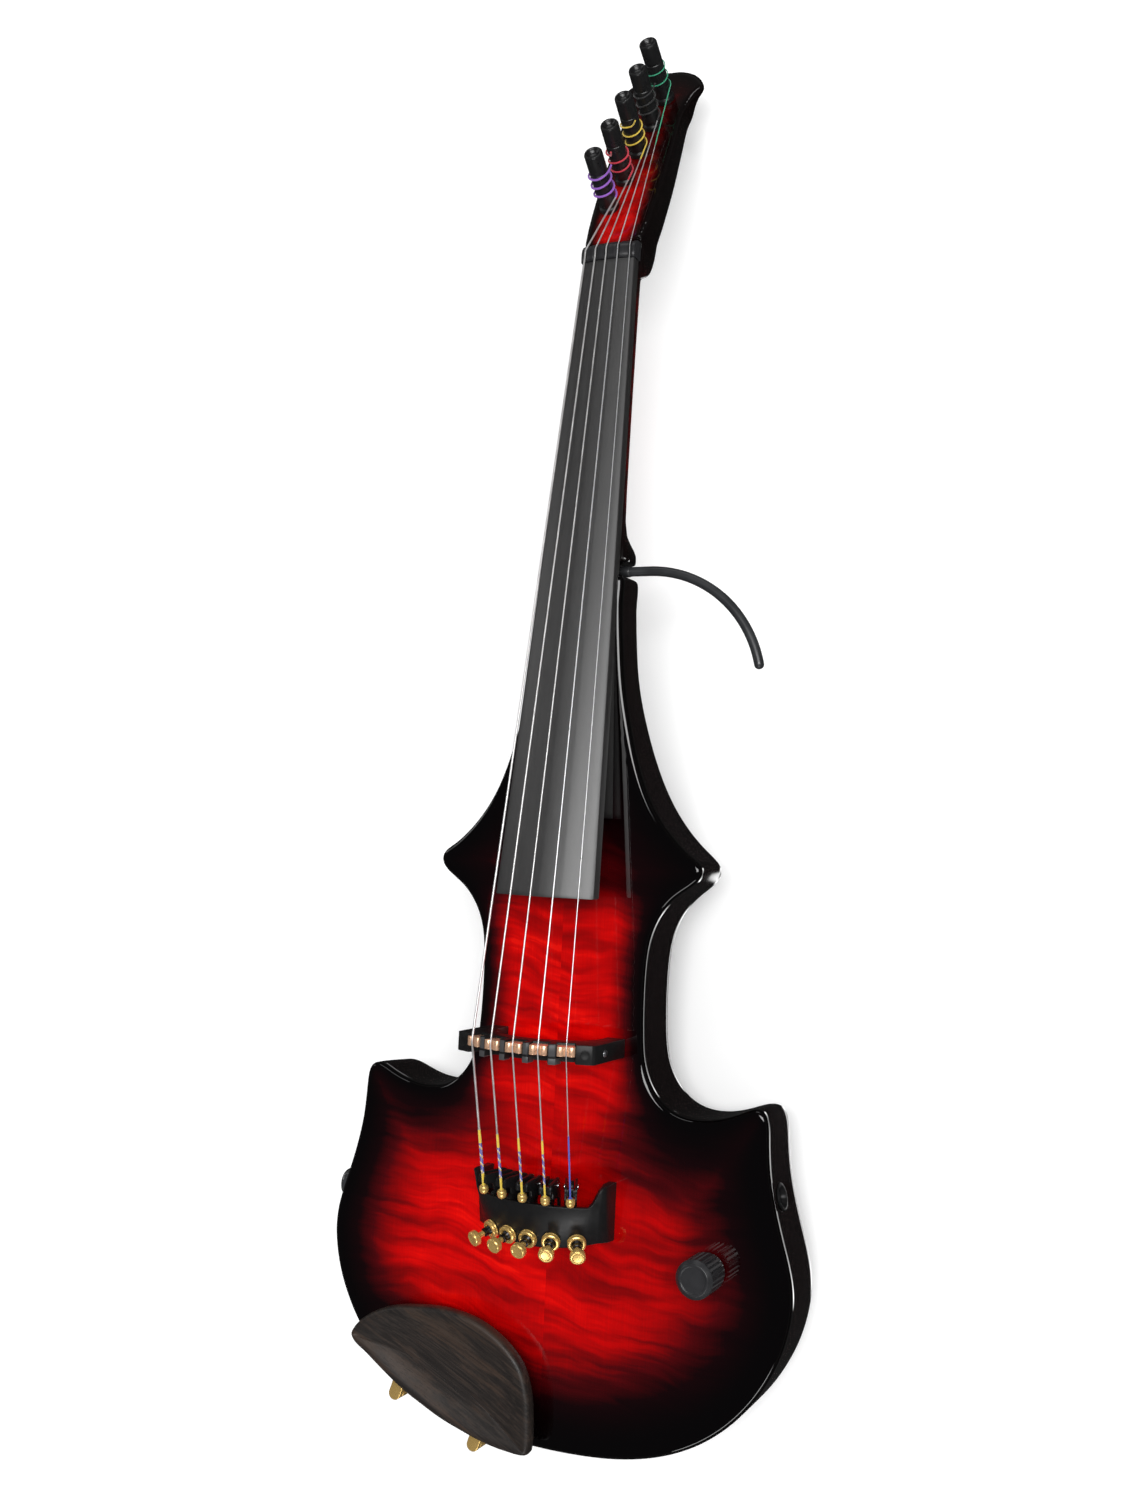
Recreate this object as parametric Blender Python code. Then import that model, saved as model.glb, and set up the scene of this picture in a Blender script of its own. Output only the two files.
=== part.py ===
"""Five-string electric violin: a solid carved body with a bolted-on neck, five geared pegs behind a raked
head, a piezo bridge on two height screws, an arched tailpiece with five fine tuners, a volume pot, an output
jack, a clamped chin rest and a curved shoulder rod. It lies on its back, face up, on its peg heads and tail.

The pieces are drawn in playing axes, in millimetres: origin on the centre line under the bridge, on the body's
front face; +X to the treble side, +Y towards the head, +Z out of the front. The empty rest_frame then tips the
whole instrument to the way it lies."""

import bpy
import bmesh
import math
import numpy as np
from mathutils import Matrix, Vector
from mathutils.geometry import delaunay_2d_cdt

MM = 0.001
GAP = 0.3  # between touching pieces

# Strings
STOP_LENGTH = 328.0  # nut to bridge
STRING_R = [0.60, 0.52, 0.46, 0.42, 0.36]  # low C to high E
NUT_SPACING, NUT_Z, NUT_ARCH = 5.2, -10.6, 45.0
BRIDGE_SPACING, BRIDGE_Z, BRIDGE_ARCH = 10.2, 39.4, 41.2
TAIL_SPACING, TAIL_Y, TAIL_Z, TAIL_ARCH = 9.5, -60.3, 24.7, 49.0

# Body
BODY_TOP = 4.0  # thickness of the figured top
BODY_THICK = 34.0
HEEL_THICK = 21.0
WALL_SHARE = 0.70  # share of the side that is upright before it tapers to the back
BACK_TAPER = 4.0

# Neck and fingerboard
BOARD_END, BOARD_NUT = 56.2, 325.3
BOARD_HALF_END, BOARD_HALF_NUT = 21.8, 12.0
BOARD_EDGE_Z, BOARD_SLOPE, BOARD_SIDE, BOARD_R = 18.6, -0.1186, 5.0, 42.0
NECK_START = 186.8

# Head
HEAD_Y, HEAD_Z, HEAD_RAKE = 334.0, -16.0, math.radians(27.0)
HEAD_T0, HEAD_T1 = 15.0, 8.5
PEG_U = [-6.5, -3.3, -0.7, 2.0, 4.0]
PEG_V = [22.5, 39.7, 56.9, 74.1, 91.3]
PEG_R, PEG_L = 4.0, 29.5
PEG_LEAN = [6.0, 6.0, 5.5, 5.0, 3.0]
WRAP_H = [6.6, 5.0, 4.6, 6.0, 7.0]
WRAP_TURNS = [2.9, 2.7, 2.8, 2.9, 2.2]
WRAP_PITCH = [4.6, 4.4, 4.4, 4.4, 5.0]

# Bridge
BRIDGE_HALF, BRIDGE_FRONT, BRIDGE_REAR = 30.0, 1.3, -6.1
SADDLE_W = 7.0

# Tailpiece and fine tuners
CONE_Z, CONE_R, CONE_Y, CONE_SLOPE = -21.0, 38.0, -78.0, math.tan(math.radians(21.0))
PLATE_T = 3.0
RING_SPACING, RING_Y = 9.2, -77.3
SCREW_PITCH = 0.5
LEVER_RISE, LEVER_BACK = 10.5, 3.6

# Controls
KNOB = (68.9, -82.7)
JACK_Y, JACK_Z = -75.0, -11.0

# Chin rest clamp
CLAMP_A, CLAMP_B = (-66.0, -154.5), (-28.0, -167.5)

for old in list(bpy.data.objects):
    bpy.data.objects.remove(old)

rest = bpy.data.objects.new("rest_frame", None)
bpy.context.scene.collection.objects.link(rest)


# ---------------------------------------------------------------- materials
def material(name, colour, rough, metal=0.0):
    m = bpy.data.materials.new(name)
    m.use_nodes = True
    b = m.node_tree.nodes["Principled BSDF"]
    b.inputs["Base Color"].default_value = (*colour, 1)
    b.inputs["Roughness"].default_value = rough
    b.inputs["Metallic"].default_value = metal
    m.diffuse_color = (*colour, 1)
    return m


M = {
    "black_lacquer": material("black_lacquer", (0.012, 0.011, 0.011), 0.12),
    "red_burst": material("red_burst", (0.55, 0.01, 0.01), 0.12),
    "neck_finish": material("neck_finish", (0.16, 0.012, 0.01), 0.2),
    "ebony": material("ebony", (0.03, 0.028, 0.03), 0.4),
    "nut_black": material("nut_black", (0.04, 0.04, 0.042), 0.35),
    "black_metal": material("black_metal", (0.03, 0.03, 0.03), 0.4, 0.6),
    "string_steel": material("string_steel", (0.62, 0.62, 0.64), 0.3, 1.0),
    "bridge_composite": material("bridge_composite", (0.07, 0.07, 0.075), 0.4),
    "copper": material("copper", (0.75, 0.42, 0.24), 0.3, 1.0),
    "gold": material("gold", (0.85, 0.6, 0.22), 0.2, 1.0),
    "screw_steel": material("screw_steel", (0.12, 0.12, 0.13), 0.35, 1.0),
    "knob_black": material("knob_black", (0.05, 0.05, 0.055), 0.4, 0.3),
    "pot_steel": material("pot_steel", (0.5, 0.5, 0.52), 0.35, 1.0),
    "chrome": material("chrome", (0.7, 0.7, 0.72), 0.12, 1.0),
    "cover_plastic": material("cover_plastic", (0.02, 0.02, 0.02), 0.4),
    "wire_pvc": material("wire_pvc", (0.03, 0.03, 0.03), 0.5),
    "chinrest_ebony": material("chinrest_ebony", (0.07, 0.055, 0.045), 0.42),
    "rod_black": material("rod_black", (0.05, 0.05, 0.055), 0.35, 0.4),
}


# ---------------------------------------------------------------- mesh helpers, in millimetres
def make(name, verts, faces, mat=None, matrix=None, helper=False):
    """A mesh object under rest_frame. matrix places it in playing axes, in millimetres."""
    me = bpy.data.meshes.new(name)
    me.from_pydata([tuple(c * MM for c in v) for v in verts], [], [list(f) for f in faces])
    bm = bmesh.new()
    bm.from_mesh(me)
    bmesh.ops.remove_doubles(bm, verts=bm.verts, dist=1e-7)
    bmesh.ops.recalc_face_normals(bm, faces=bm.faces)
    if bm.calc_volume(signed=True) < 0:
        bmesh.ops.reverse_faces(bm, faces=bm.faces)
    bm.to_mesh(me)
    bm.free()
    me.shade_smooth()
    me.set_sharp_from_angle(angle=math.radians(32))
    ob = bpy.data.objects.new(name, me)
    bpy.context.scene.collection.objects.link(ob)
    ob.parent = rest
    if matrix is not None:
        ob.matrix_basis = Matrix.Translation(matrix.translation * MM) @ matrix.to_3x3().to_4x4()
    if mat:
        me.materials.append(M[mat])
    if helper:
        ob.hide_render = True
        ob.display_type = "WIRE"
    return ob


def boolean(ob, other, operation="DIFFERENCE"):
    m = ob.modifiers.new(other.name[:40], "BOOLEAN")
    m.object, m.operation, m.solver = other, operation, "EXACT"


def axes(origin, z, x=(1, 0, 0)):
    """A placement whose local Z is z."""
    z = Vector(z).normalized()
    y = z.cross(Vector(x)).normalized()
    x = y.cross(z)
    m = Matrix((x, y, z)).transposed().to_4x4()
    m.translation = Vector(origin)
    return m


def loft(rings, closed=False):
    """Faces between rings of equal length; capped at both ends unless closed."""
    n, k = len(rings[0]), len(rings)
    verts = [p for r in rings for p in r]
    faces = []
    for a in range(k if closed else k - 1):
        b = (a + 1) % k
        for i in range(n):
            j = (i + 1) % n
            faces.append((a * n + i, a * n + j, b * n + j, b * n + i))
    if not closed:
        faces.append(tuple(reversed(range(n))))
        faces.append(tuple((k - 1) * n + i for i in range(n)))
    return verts, faces


def prism(points, z0, z1):
    return loft([[(x, y, z0) for x, y in points], [(x, y, z1) for x, y in points]])


def box(x0, x1, y0, y1, z0, z1):
    return prism([(x0, y0), (x1, y0), (x1, y1), (x0, y1)], z0, z1)


def turned(profile, sides=20):
    """Lathe about Z. profile is (radius, z) from one end on the axis, or a closed ring of them off the axis."""
    on_axis = profile[0][0] == 0
    verts, faces, rows = [], [], []
    for r, z in profile:
        if r == 0:
            rows.append([len(verts)])
            verts.append((0, 0, z))
        else:
            rows.append([len(verts) + k for k in range(sides)])
            verts += [
                (r * math.cos(2 * math.pi * k / sides), r * math.sin(2 * math.pi * k / sides), z)
                for k in range(sides)
            ]
    pairs = list(zip(rows, rows[1:])) + ([] if on_axis else [(rows[-1], rows[0])])
    for a, b in pairs:
        for k in range(sides):
            q = [a[k % len(a)], a[(k + 1) % len(a)], b[(k + 1) % len(b)], b[k % len(b)]]
            q = [v for i, v in enumerate(q) if v not in q[:i]]
            if len(q) > 2:
                faces.append(tuple(q))
    return verts, faces


def tube(path, radius, sides=6):
    """A round tube along path. radius is one number or one for each point."""
    path = [Vector(p) for p in path]
    radii = radius if isinstance(radius, (list, tuple)) else [radius] * len(path)
    tangents = []
    for i in range(len(path)):
        a, b = path[max(i - 1, 0)], path[min(i + 1, len(path) - 1)]
        tangents.append((b - a).normalized())
    side = tangents[0].orthogonal().normalized()
    rings = []
    for p, t, r in zip(path, tangents, radii):
        side = (side - t * side.dot(t)).normalized()
        up = t.cross(side)
        rings.append(
            [
                tuple(p + (side * math.cos(2 * math.pi * k / sides) + up * math.sin(2 * math.pi * k / sides)) * r)
                for k in range(sides)
            ]
        )
    return loft(rings)


def merged(*shapes):
    verts, faces = [], []
    for v, f in shapes:
        faces += [tuple(i + len(verts) for i in face) for face in f]
        verts += v
    return verts, faces


# ---------------------------------------------------------------- body outline
# Half of the front edge, from the neck end round the treble side to the tail, which the bass side mirrors.
NECK_END = [(0, 186.4), (9, 186.4), (15.5, 186.0), (17.9, 184.0)]
SHOULDER = [(18.8, 175), (19.8, 160), (21.6, 143), (24.4, 128.5), (28.6, 112.5), (34.0, 98.5), (41.0, 87.2), (49.3, 78.2)]
UPPER_HORN = [(54.6, 73.4), (57.2, 71.2), (58.2, 68.6), (56.8, 66.0), (53.4, 62.8)]
WAIST = [(47.2, 57.6), (41.4, 50.4), (37.8, 41.5), (36.4, 31.0), (36.1, 18.0), (36.5, 4.0), (37.6, -7.0), (40.6, -15.6), (45.6, -22.0), (52.2, -25.9), (59.6, -27.1), (67.4, -26.4), (74.6, -24.3)]
LOWER_HORN = [(80.6, -21.6), (84.0, -19.9), (86.9, -19.7), (89.0, -21.8), (89.9, -26.0)]
LOWER_BOUT = [(90.3, -34), (91.2, -44), (93.4, -55), (96.6, -66.5), (99.7, -76.5), (101.6, -85), (101.9, -93), (100.7, -101.5), (98.2, -110.5), (94.2, -119.5), (88.4, -129), (80.4, -138.5), (70.4, -147), (58.8, -153.8), (45.6, -158.8), (31.0, -162.0), (15.6, -163.6), (0, -164.1)]
HALF = NECK_END + SHOULDER + UPPER_HORN + WAIST + LOWER_HORN + LOWER_BOUT


def smooth_closed(points, per_span):
    """A closed curve through the points."""
    p = np.array(points, float)
    n = len(p)
    out = []
    for i in range(n):
        p0, p1, p2, p3 = p[i - 1], p[i], p[(i + 1) % n], p[(i + 2) % n]
        d1 = max(np.linalg.norm(p1 - p0), 1e-6) ** 0.5
        d2 = max(np.linalg.norm(p2 - p1), 1e-6) ** 0.5
        d3 = max(np.linalg.norm(p3 - p2), 1e-6) ** 0.5
        m1 = ((p1 - p0) / d1 - (p2 - p0) / (d1 + d2) + (p2 - p1) / d2) * d2
        m2 = ((p2 - p1) / d2 - (p3 - p1) / (d2 + d3) + (p3 - p2) / d3) * d2
        for k in range(per_span):
            t = k / per_span
            h = (2 * t**3 - 3 * t**2 + 1, t**3 - 2 * t**2 + t, -2 * t**3 + 3 * t**2, t**3 - t**2)
            out.append(h[0] * p1 + h[1] * m1 + h[2] * p2 + h[3] * m2)
    return np.array(out)


def body_outline(per_span=1):
    right = HALF
    left = [(-x, y) for x, y in reversed(HALF[1:-1])]
    return smooth_closed(right + left, per_span)


def outward(points):
    """Unit normals of a closed outline that runs clockwise."""
    t = np.roll(points, -1, 0) - np.roll(points, 1, 0)
    n = np.stack([-t[:, 1], t[:, 0]], 1)
    return n / np.linalg.norm(n, axis=1, keepdims=True)


def inset(points, depth):
    """The outline moved inwards, less where it turns so tightly that its sides would cross."""
    n = outward(points)
    side = np.roll(points, -1, 0) - points
    d = np.full(len(points), float(depth))
    for _ in range(80):
        q = points - n * d[:, None]
        kept = ((np.roll(q, -1, 0) - q) * side).sum(1) / (side**2).sum(1)
        short = kept < 0.34
        if not short.any():
            break
        d[short | np.roll(short, 1)] *= 0.9
        d = np.minimum(d, (np.roll(d, 1) + d + np.roll(d, -1)) / 3 + 0.15 * depth)
    return points - n * d[:, None]


def smoothstep(t):
    t = min(max(t, 0.0), 1.0)
    return t * t * (3 - 2 * t)


def back_z(y):
    return -BODY_THICK + (BODY_THICK - HEEL_THICK) * smoothstep((y - 75) / 80)


def capped(points, height, first):
    """Triangles that close an outline whose height depends on y alone, with straight lines across where it does."""
    n = len(points)
    lines = []
    for i in range(1, n):
        j = n - i
        if i < j and 75 < points[i][1] < 165 and abs(points[i][1] - points[j][1]) < 0.2:
            lines.append((i, j))
    v, e, f, *_ = delaunay_2d_cdt([Vector(p) for p in points], lines, [list(range(n))], 1, 1e-6)
    assert len(v) == n
    order = [min(range(n), key=lambda k: (Vector(points[k]) - q).length) for q in v]
    return [tuple(first + order[i] for i in face) for face in f]


def body_shape(levels, top_z, bottom_z):
    """A solid whose sides follow the body outline. levels is (inset, z) or (inset, function of y)."""
    base = body_outline(1)
    rings, flat = [], []
    for depth, z in levels:
        p = inset(base, depth) if depth else base
        rings.append([(x, y, z(y) if callable(z) else z) for x, y in p])
        flat.append(p)
    verts, faces = loft(rings)
    faces = faces[:-2]
    n = len(base)
    faces += capped([tuple(q) for q in flat[0]], None, 0)
    faces += capped([tuple(q) for q in flat[-1]], None, (len(levels) - 1) * n)
    return verts, faces


def level(share, taper_share):
    """A level of the side between the underside of the top and the back."""
    top = -BODY_TOP - GAP
    return (BACK_TAPER * taper_share, lambda y: top + (back_z(y) - top) * share)


core = make(
    "body_core",
    *body_shape(
        [(0, -BODY_TOP - GAP), level(WALL_SHARE, 0), level(0.74, 0.16), level(0.92, 0.52), level(1.0, 1.0)], 0, 0
    ),
    "black_lacquer",
)
top = make("top_plate", *body_shape([(0, -BODY_TOP), (0, -1.8), (0.55, -0.5), (1.8, 0)], 0, 0), "red_burst")


def cut(obs, name, shape, matrix=None):
    c = make("cut_" + name, *shape, matrix=matrix, helper=True)
    for ob in obs if isinstance(obs, (list, tuple)) else [obs]:
        boolean(ob, c)
    return c


def rounded(cx, cy, w, h, r, steps=4):
    pts = []
    for sx, sy, a0 in ((1, 1, 0), (-1, 1, 90), (-1, -1, 180), (1, -1, 270)):
        for k in range(steps + 1):
            a = math.radians(a0 + 90 * k / steps)
            pts.append((cx + sx * (w / 2 - r) + r * math.cos(a), cy + sy * (h / 2 - r) + r * math.sin(a)))
    return pts


# Neck mortise, control cavity with its cover ledge, jack bore, wire ways, bridge screw holes, side socket
cut(core, "mortise", box(-9.3, 9.3, 160.2, 200, -17.3, 0))
cut(core, "cavity", prism(rounded(65, -83, 36, 42, 6), -40, -8.3))
cut(core, "cover_ledge", prism(rounded(65, -83, 44.6, 58.6, 7), -50, -31.3))
COVER_SCREWS = [(65, -108.2), (65, -57.8)]
for k, (x, y) in enumerate(COVER_SCREWS):
    cut(core, f"cover_pilot_{k}", turned([(0, -32), (1.2, -32), (1.2, -22), (0, -22)], 8), axes((x, y, 0), (0, 0, 1)))
cut(core, "jack_bore", turned([(0, -60), (4.8, -60), (4.8, 5), (0, 5)], 20), axes((-112, JACK_Y, JACK_Z), (-1, 0, 0), (0, 0, 1)) @ Matrix.Translation((0, 0, 20)))
cut(core, "jack_face", turned([(0, 0), (6.9, 0), (6.9, 30), (0, 30)], 20), axes((-97.0, JACK_Y, JACK_Z), (-1, 0, 0), (0, 0, 1)))
cut(core, "wire_way_jack", tube([(-80, JACK_Y, -14), (-40, JACK_Y, -17), (55, JACK_Y, -17)], 2.4, 8))
cut(core, "wire_way_bridge", tube([(18.5, -2.6, 3), (18.5, -2.6, -11), (22, -8, -14), (52, -70, -14)], 2.1, 8))
cut(top, "wire_hole", turned([(0, -10), (2.1, -10), (2.1, 10), (0, 10)], 8), axes((18.5, -2.6, 0), (0, 0, 1)))
BRIDGE_SCREWS = [(-26.2, -2.4), (26.2, -2.4)]
for k, (x, y) in enumerate(BRIDGE_SCREWS):
    cut([core, top], f"bridge_screw_hole_{k}", turned([(0, -16), (2.2, -16), (2.2, 4), (0, 4)], 12), axes((x, y, 0), (0, 0, 1)))
cut(core, "pot_hole", turned([(0, -20), (4.2, -20), (4.2, 5), (0, 5)], 16), axes((*KNOB, 0), (0, 0, 1)))
cut(top, "pot_hole_top", turned([(0, -20), (4.2, -20), (4.2, 5), (0, 5)], 16), axes((*KNOB, 0), (0, 0, 1)))
cut(core, "side_socket", turned([(0, -4), (5.0, -4), (5.0, 9), (0, 9)], 16), axes((93.2, -53.5, -11.5), (0.95, 0.26, 0), (0, 0, 1)))


# ---------------------------------------------------------------- fingerboard, riser, neck, head, nut
def board_half(y):
    return BOARD_HALF_NUT + (BOARD_HALF_END - BOARD_HALF_NUT) * (BOARD_NUT - y) / (BOARD_NUT - BOARD_END)


def board_edge(y):
    return BOARD_EDGE_Z + BOARD_SLOPE * (y - BOARD_END)


def board_under(y):
    return board_edge(y) - BOARD_SIDE


def board_ring(y):
    w, e = board_half(y), board_edge(y)
    top_pts = []
    for k in range(11):
        x = w - 2 * w * k / 10
        top_pts.append((x, y, e + (w * w - x * x) / (2 * BOARD_R)))
    return [(w, y, board_under(y))] + top_pts + [(-w, y, board_under(y))]


make("fingerboard", *loft([board_ring(y) for y in (BOARD_END, 190.0, BOARD_NUT)]), "ebony")
# The board lies in a shallow rebate where it crosses the neck end of the top.
w1, w2 = board_half(190) + 0.5, board_half(150) + 0.5
rebate = [
    [(-w2, 150, board_under(150) - 0.6), (w2, 150, board_under(150) - 0.6), (w2, 150, 8), (-w2, 150, 8)],
    [(-w1, 192, board_under(192) - 0.6), (w1, 192, board_under(192) - 0.6), (w1, 192, 8), (-w1, 192, 8)],
]
cut(top, "board_rebate", loft(rebate))


def riser_ring(y, z_low):
    w, z = board_half(y) - 0.6, board_under(y) - GAP
    return [(w, y, z_low), (w, y, z), (-w, y, z), (-w, y, z_low)]


make("board_riser", *loft([riser_ring(88.4, GAP), riser_ring(91, GAP), riser_ring(160.0, GAP)]), "ebony")


def neck_ring(y, w, depth, power, top_drop=GAP):
    """A flat top and a rounded back."""
    z = board_under(y) - top_drop
    pts = [(w, y, z)]
    for k in range(1, 12):
        a = math.pi * k / 12
        c, s = math.cos(a), math.sin(a)
        pts.append((w * math.copysign(abs(c) ** (2 / power), c), y, z - depth * abs(s) ** (2 / power)))
    return pts + [(-w, y, z)]


NECK_SECTIONS = [
    (186.8, 13.8, 16.6, 5.0),
    (193.6, 13.8, 16.6, 5.0),
    (194.1, 19.4, 16.9, 5.0),
    (198.6, 19.2, 17.0, 4.5),
    (201.8, 17.6, 16.8, 3.6),
    (205.5, 16.1, 16.2, 2.8),
    (212.0, 15.6, 15.2, 2.3),
    (226.0, 15.3, 14.2, 2.1),
    (262.0, 14.1, 13.4, 2.0),
    (300.0, 12.8, 12.9, 2.0),
    (320.0, 12.2, 12.8, 2.0),
    (333.0, 12.2, 13.4, 2.0),
]
neck = make("neck", *loft([neck_ring(*s) for s in NECK_SECTIONS]), "neck_finish")

SIN, COS = math.sin(HEAD_RAKE), math.cos(HEAD_RAKE)


def on_head(u, v, h=0.0):
    """A point u across and v up the head's face, h out of it."""
    return (u, HEAD_Y + v * COS + h * SIN, HEAD_Z - v * SIN + h * COS)


HEAD_HALF = [(0, 111.8), (6.5, 110.6), (12.6, 106.6), (17.4, 101.6), (20.6, 97.4), (20.0, 95.6), (17.2, 92.8), (15.4, 87.0), (14.9, 78.0), (15.3, 62.0), (15.6, 45.0), (15.4, 28.0), (14.6, 12.0), (13.4, 0.7)]


def head_thickness(v):
    return HEAD_T0 + (HEAD_T1 - HEAD_T0) * v / 105


def head_rings():
    out = np.array(HEAD_HALF + [(-u, v) for u, v in reversed(HEAD_HALF[1:])])
    small = inset(out, 1.6)
    small[:, 1] = np.maximum(small[:, 1], 0.7)
    return [
        [on_head(u, v, 0) for u, v in small],
        [on_head(u, v, -1.5) for u, v in out],
        [on_head(u, v, -head_thickness(v) + 2.5) for u, v in out],
        [on_head(u, v, -head_thickness(v)) for u, v in small],
    ]


boolean(neck, make("add_head", *loft(head_rings()), helper=True), "UNION")


def ball(centre, rx, ry, rz, rows=8, sides=14):
    verts, faces = turned([(0, -1)] + [(math.sin(math.pi * k / rows), -math.cos(math.pi * k / rows)) for k in range(1, rows)] + [(0, 1)], sides)
    return [(centre[0] + x * rx, centre[1] + y * ry, centre[2] + z * rz) for x, y, z in verts], faces


# The head's root runs on under the nut as a thick block with a rounded end.
ROOT = [(11.0, -3.0), (14.0, -14.0), (7.0, -16.4), (0.0, -16.9), (-5.0, -16.0), (-8.6, -13.8), (-10.4, -10.6), (-9.6, -8.2), (-2.0, -5.2), (4.0, -3.2)]
root = [[on_head(u * 0.94 if abs(h) > 14.5 else u, v, h) for v, h in ROOT] for u in (-13.0, -12.4, 12.4, 13.0)]
root[0] = [(x, y + (326.0 - y) * 0.06, z + (-26.0 - z) * 0.06) for x, y, z in root[0]]
root[3] = [(x, y + (326.0 - y) * 0.06, z + (-26.0 - z) * 0.06) for x, y, z in root[3]]
boolean(neck, make("add_root", *loft(root), helper=True), "UNION")

def peg_place(k):
    """The pegs lean a little to the treble side."""
    lean = math.radians(PEG_LEAN[k])
    return axes(on_head(PEG_U[k], PEG_V[k]), (math.sin(lean), math.cos(lean) * SIN, math.cos(lean) * COS))


boolean(neck, make("add_tenon", *box(-9, 9, 160.5, 189, -17.0, -4.6), helper=True), "UNION")
for k in range(5):
    cut(neck, f"peg_hole_{k}", turned([(0, -26), (PEG_R + 0.3, -26), (PEG_R + 0.3, 8), (0, 8)], 16), peg_place(k))
ROD_Y, ROD_Z, ROD_R = 190.6, -10.0, 2.0
cut(neck, "rod_hole", turned([(0, 0), (ROD_R + 0.3, 0), (ROD_R + 0.3, 30), (0, 30)], 12), axes((5.5, ROD_Y, ROD_Z), (1, 0, 0), (0, 0, 1)))


def arch(x, z, radius):
    return z - x * x / (2 * radius)


def nut_ring(y, drop):
    w = 12.6
    pts = [(w, y, board_under(BOARD_NUT) - 0.2)]
    for k in range(11):
        x = w - 2 * w * k / 10
        pts.append((x, y, arch(x, NUT_Z, NUT_ARCH) - 0.95 - drop))
    return pts + [(-w, y, board_under(BOARD_NUT) - 0.2)]


make("nut", *loft([nut_ring(325.6, 0.15), nut_ring(327.0, 0), nut_ring(330.5, 0.1), nut_ring(332.2, 1.0), nut_ring(333.3, 2.4)]), "nut_black")

# ---------------------------------------------------------------- pegs: post in front of the head, thumb head behind
for k in range(5):
    d = head_thickness(PEG_V[k]) + 1.0
    profile = [
        (0, PEG_L - 0.9), (2.3, PEG_L - 0.5), (3.1, PEG_L), (3.7, PEG_L - 0.3), (PEG_R, PEG_L - 0.9),
        (PEG_R, PEG_L - 9.2), (PEG_R - 0.25, PEG_L - 9.5), (PEG_R, PEG_L - 9.8),
        (PEG_R, -d), (5.6, -d), (5.6, -d - 1.6), (3.0, -d - 2.4), (2.6, -d - 5), (0, -d - 5),
    ]
    place = peg_place(k)
    peg = make(f"peg_{k + 1}", *turned(profile, 14), "black_metal", place)
    blade = [(7.9 * math.cos(a), -d - 10.2 + 6.6 * math.sin(a)) for a in (2 * math.pi * j / 16 for j in range(16))]
    rings = [
        [(1.9, x * 0.86, -d - 10.2 + (z + d + 10.2) * 0.86) for x, z in blade],
        [(1.1, x, z) for x, z in blade],
        [(-1.1, x, z) for x, z in blade],
        [(-1.9, x * 0.86, -d - 10.2 + (z + d + 10.2) * 0.86) for x, z in blade],
    ]
    boolean(peg, make(f"add_peg_head_{k + 1}", *loft(rings), matrix=place, helper=True), "UNION")


# ---------------------------------------------------------------- strings, each one piece from its ball to its peg
def string_x(i, spacing):
    return (i - 2) * spacing


def string_path(i):
    r = STRING_R[i]
    xt, xb, xn = (string_x(i, s) for s in (TAIL_SPACING, BRIDGE_SPACING, NUT_SPACING))
    tail = Vector((xt, TAIL_Y, arch(xt, TAIL_Z, TAIL_ARCH)))
    over = Vector((xb, -1.6, arch(xb, BRIDGE_Z, BRIDGE_ARCH)))
    way = (over - tail).normalized()
    path = [(tail - way * 2.0, 0.9), (tail - way * 1.6, 1.6), (tail, 2.0), (tail + way * 1.6, 1.1), (tail + way * 2.2, r)]
    path += [(over - way * 2, r), (over, r), (over + Vector((0, 1.6, -0.05)), r)]
    nut_z = arch(xn, NUT_Z, NUT_ARCH)
    path += [(Vector((xn, 327.2, nut_z + 0.05)), r), (Vector((xn * 0.99, 330.6, nut_z - 0.05)), r)]
    ring = PEG_R + r + 0.3
    turns = WRAP_TURNS[i]
    steps = int(turns * 10)
    for j in range(steps + 1):
        a = 2 * math.pi * turns * j / steps - 0.15
        h = WRAP_H[i] + WRAP_PITCH[i] * turns * j / steps
        path.append((peg_place(i) @ Vector((ring * math.cos(a), ring * math.sin(a), h)), r))
    return path


for i in range(5):
    path = string_path(i)
    make(f"string_{i + 1}", *tube([p for p, _ in path], [r for _, r in path], 6), "string_steel")


# ---------------------------------------------------------------- bridge with five pickup saddles
def saddle_frame(i):
    x = string_x(i, BRIDGE_SPACING)
    z = arch(x, BRIDGE_Z, BRIDGE_ARCH)
    lean = math.atan(x / BRIDGE_ARCH)
    return x, z, lean


def at_saddle(i, across, out):
    x, z, lean = saddle_frame(i)
    return (x + across * math.cos(lean) + out * math.sin(lean), z - across * math.sin(lean) + out * math.cos(lean))


profile = [(-BRIDGE_HALF, GAP), (-BRIDGE_HALF, 28.2), (-29.2, 29.4)]
for i in range(5):
    half = SADDLE_W / 2 + GAP
    profile += [at_saddle(i, -half, -0.2), at_saddle(i, -half, -7.2), at_saddle(i, half, -7.2), at_saddle(i, half, -0.2)]
profile += [(29.2, 29.4), (BRIDGE_HALF, 28.2), (BRIDGE_HALF, GAP), (22.4, GAP), (22.4, 8)]
for a in (20, 45, 70, 90, 110, 135, 160):
    profile.append((21.5 * math.cos(math.radians(a)), 10 + 15.5 * math.sin(math.radians(a))))
profile += [(-22.4, 8), (-22.4, GAP)]


def across_y(points, y0, y1):
    return loft([[(x, y0, z) for x, z in points], [(x, y1, z) for x, z in points]])


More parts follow.
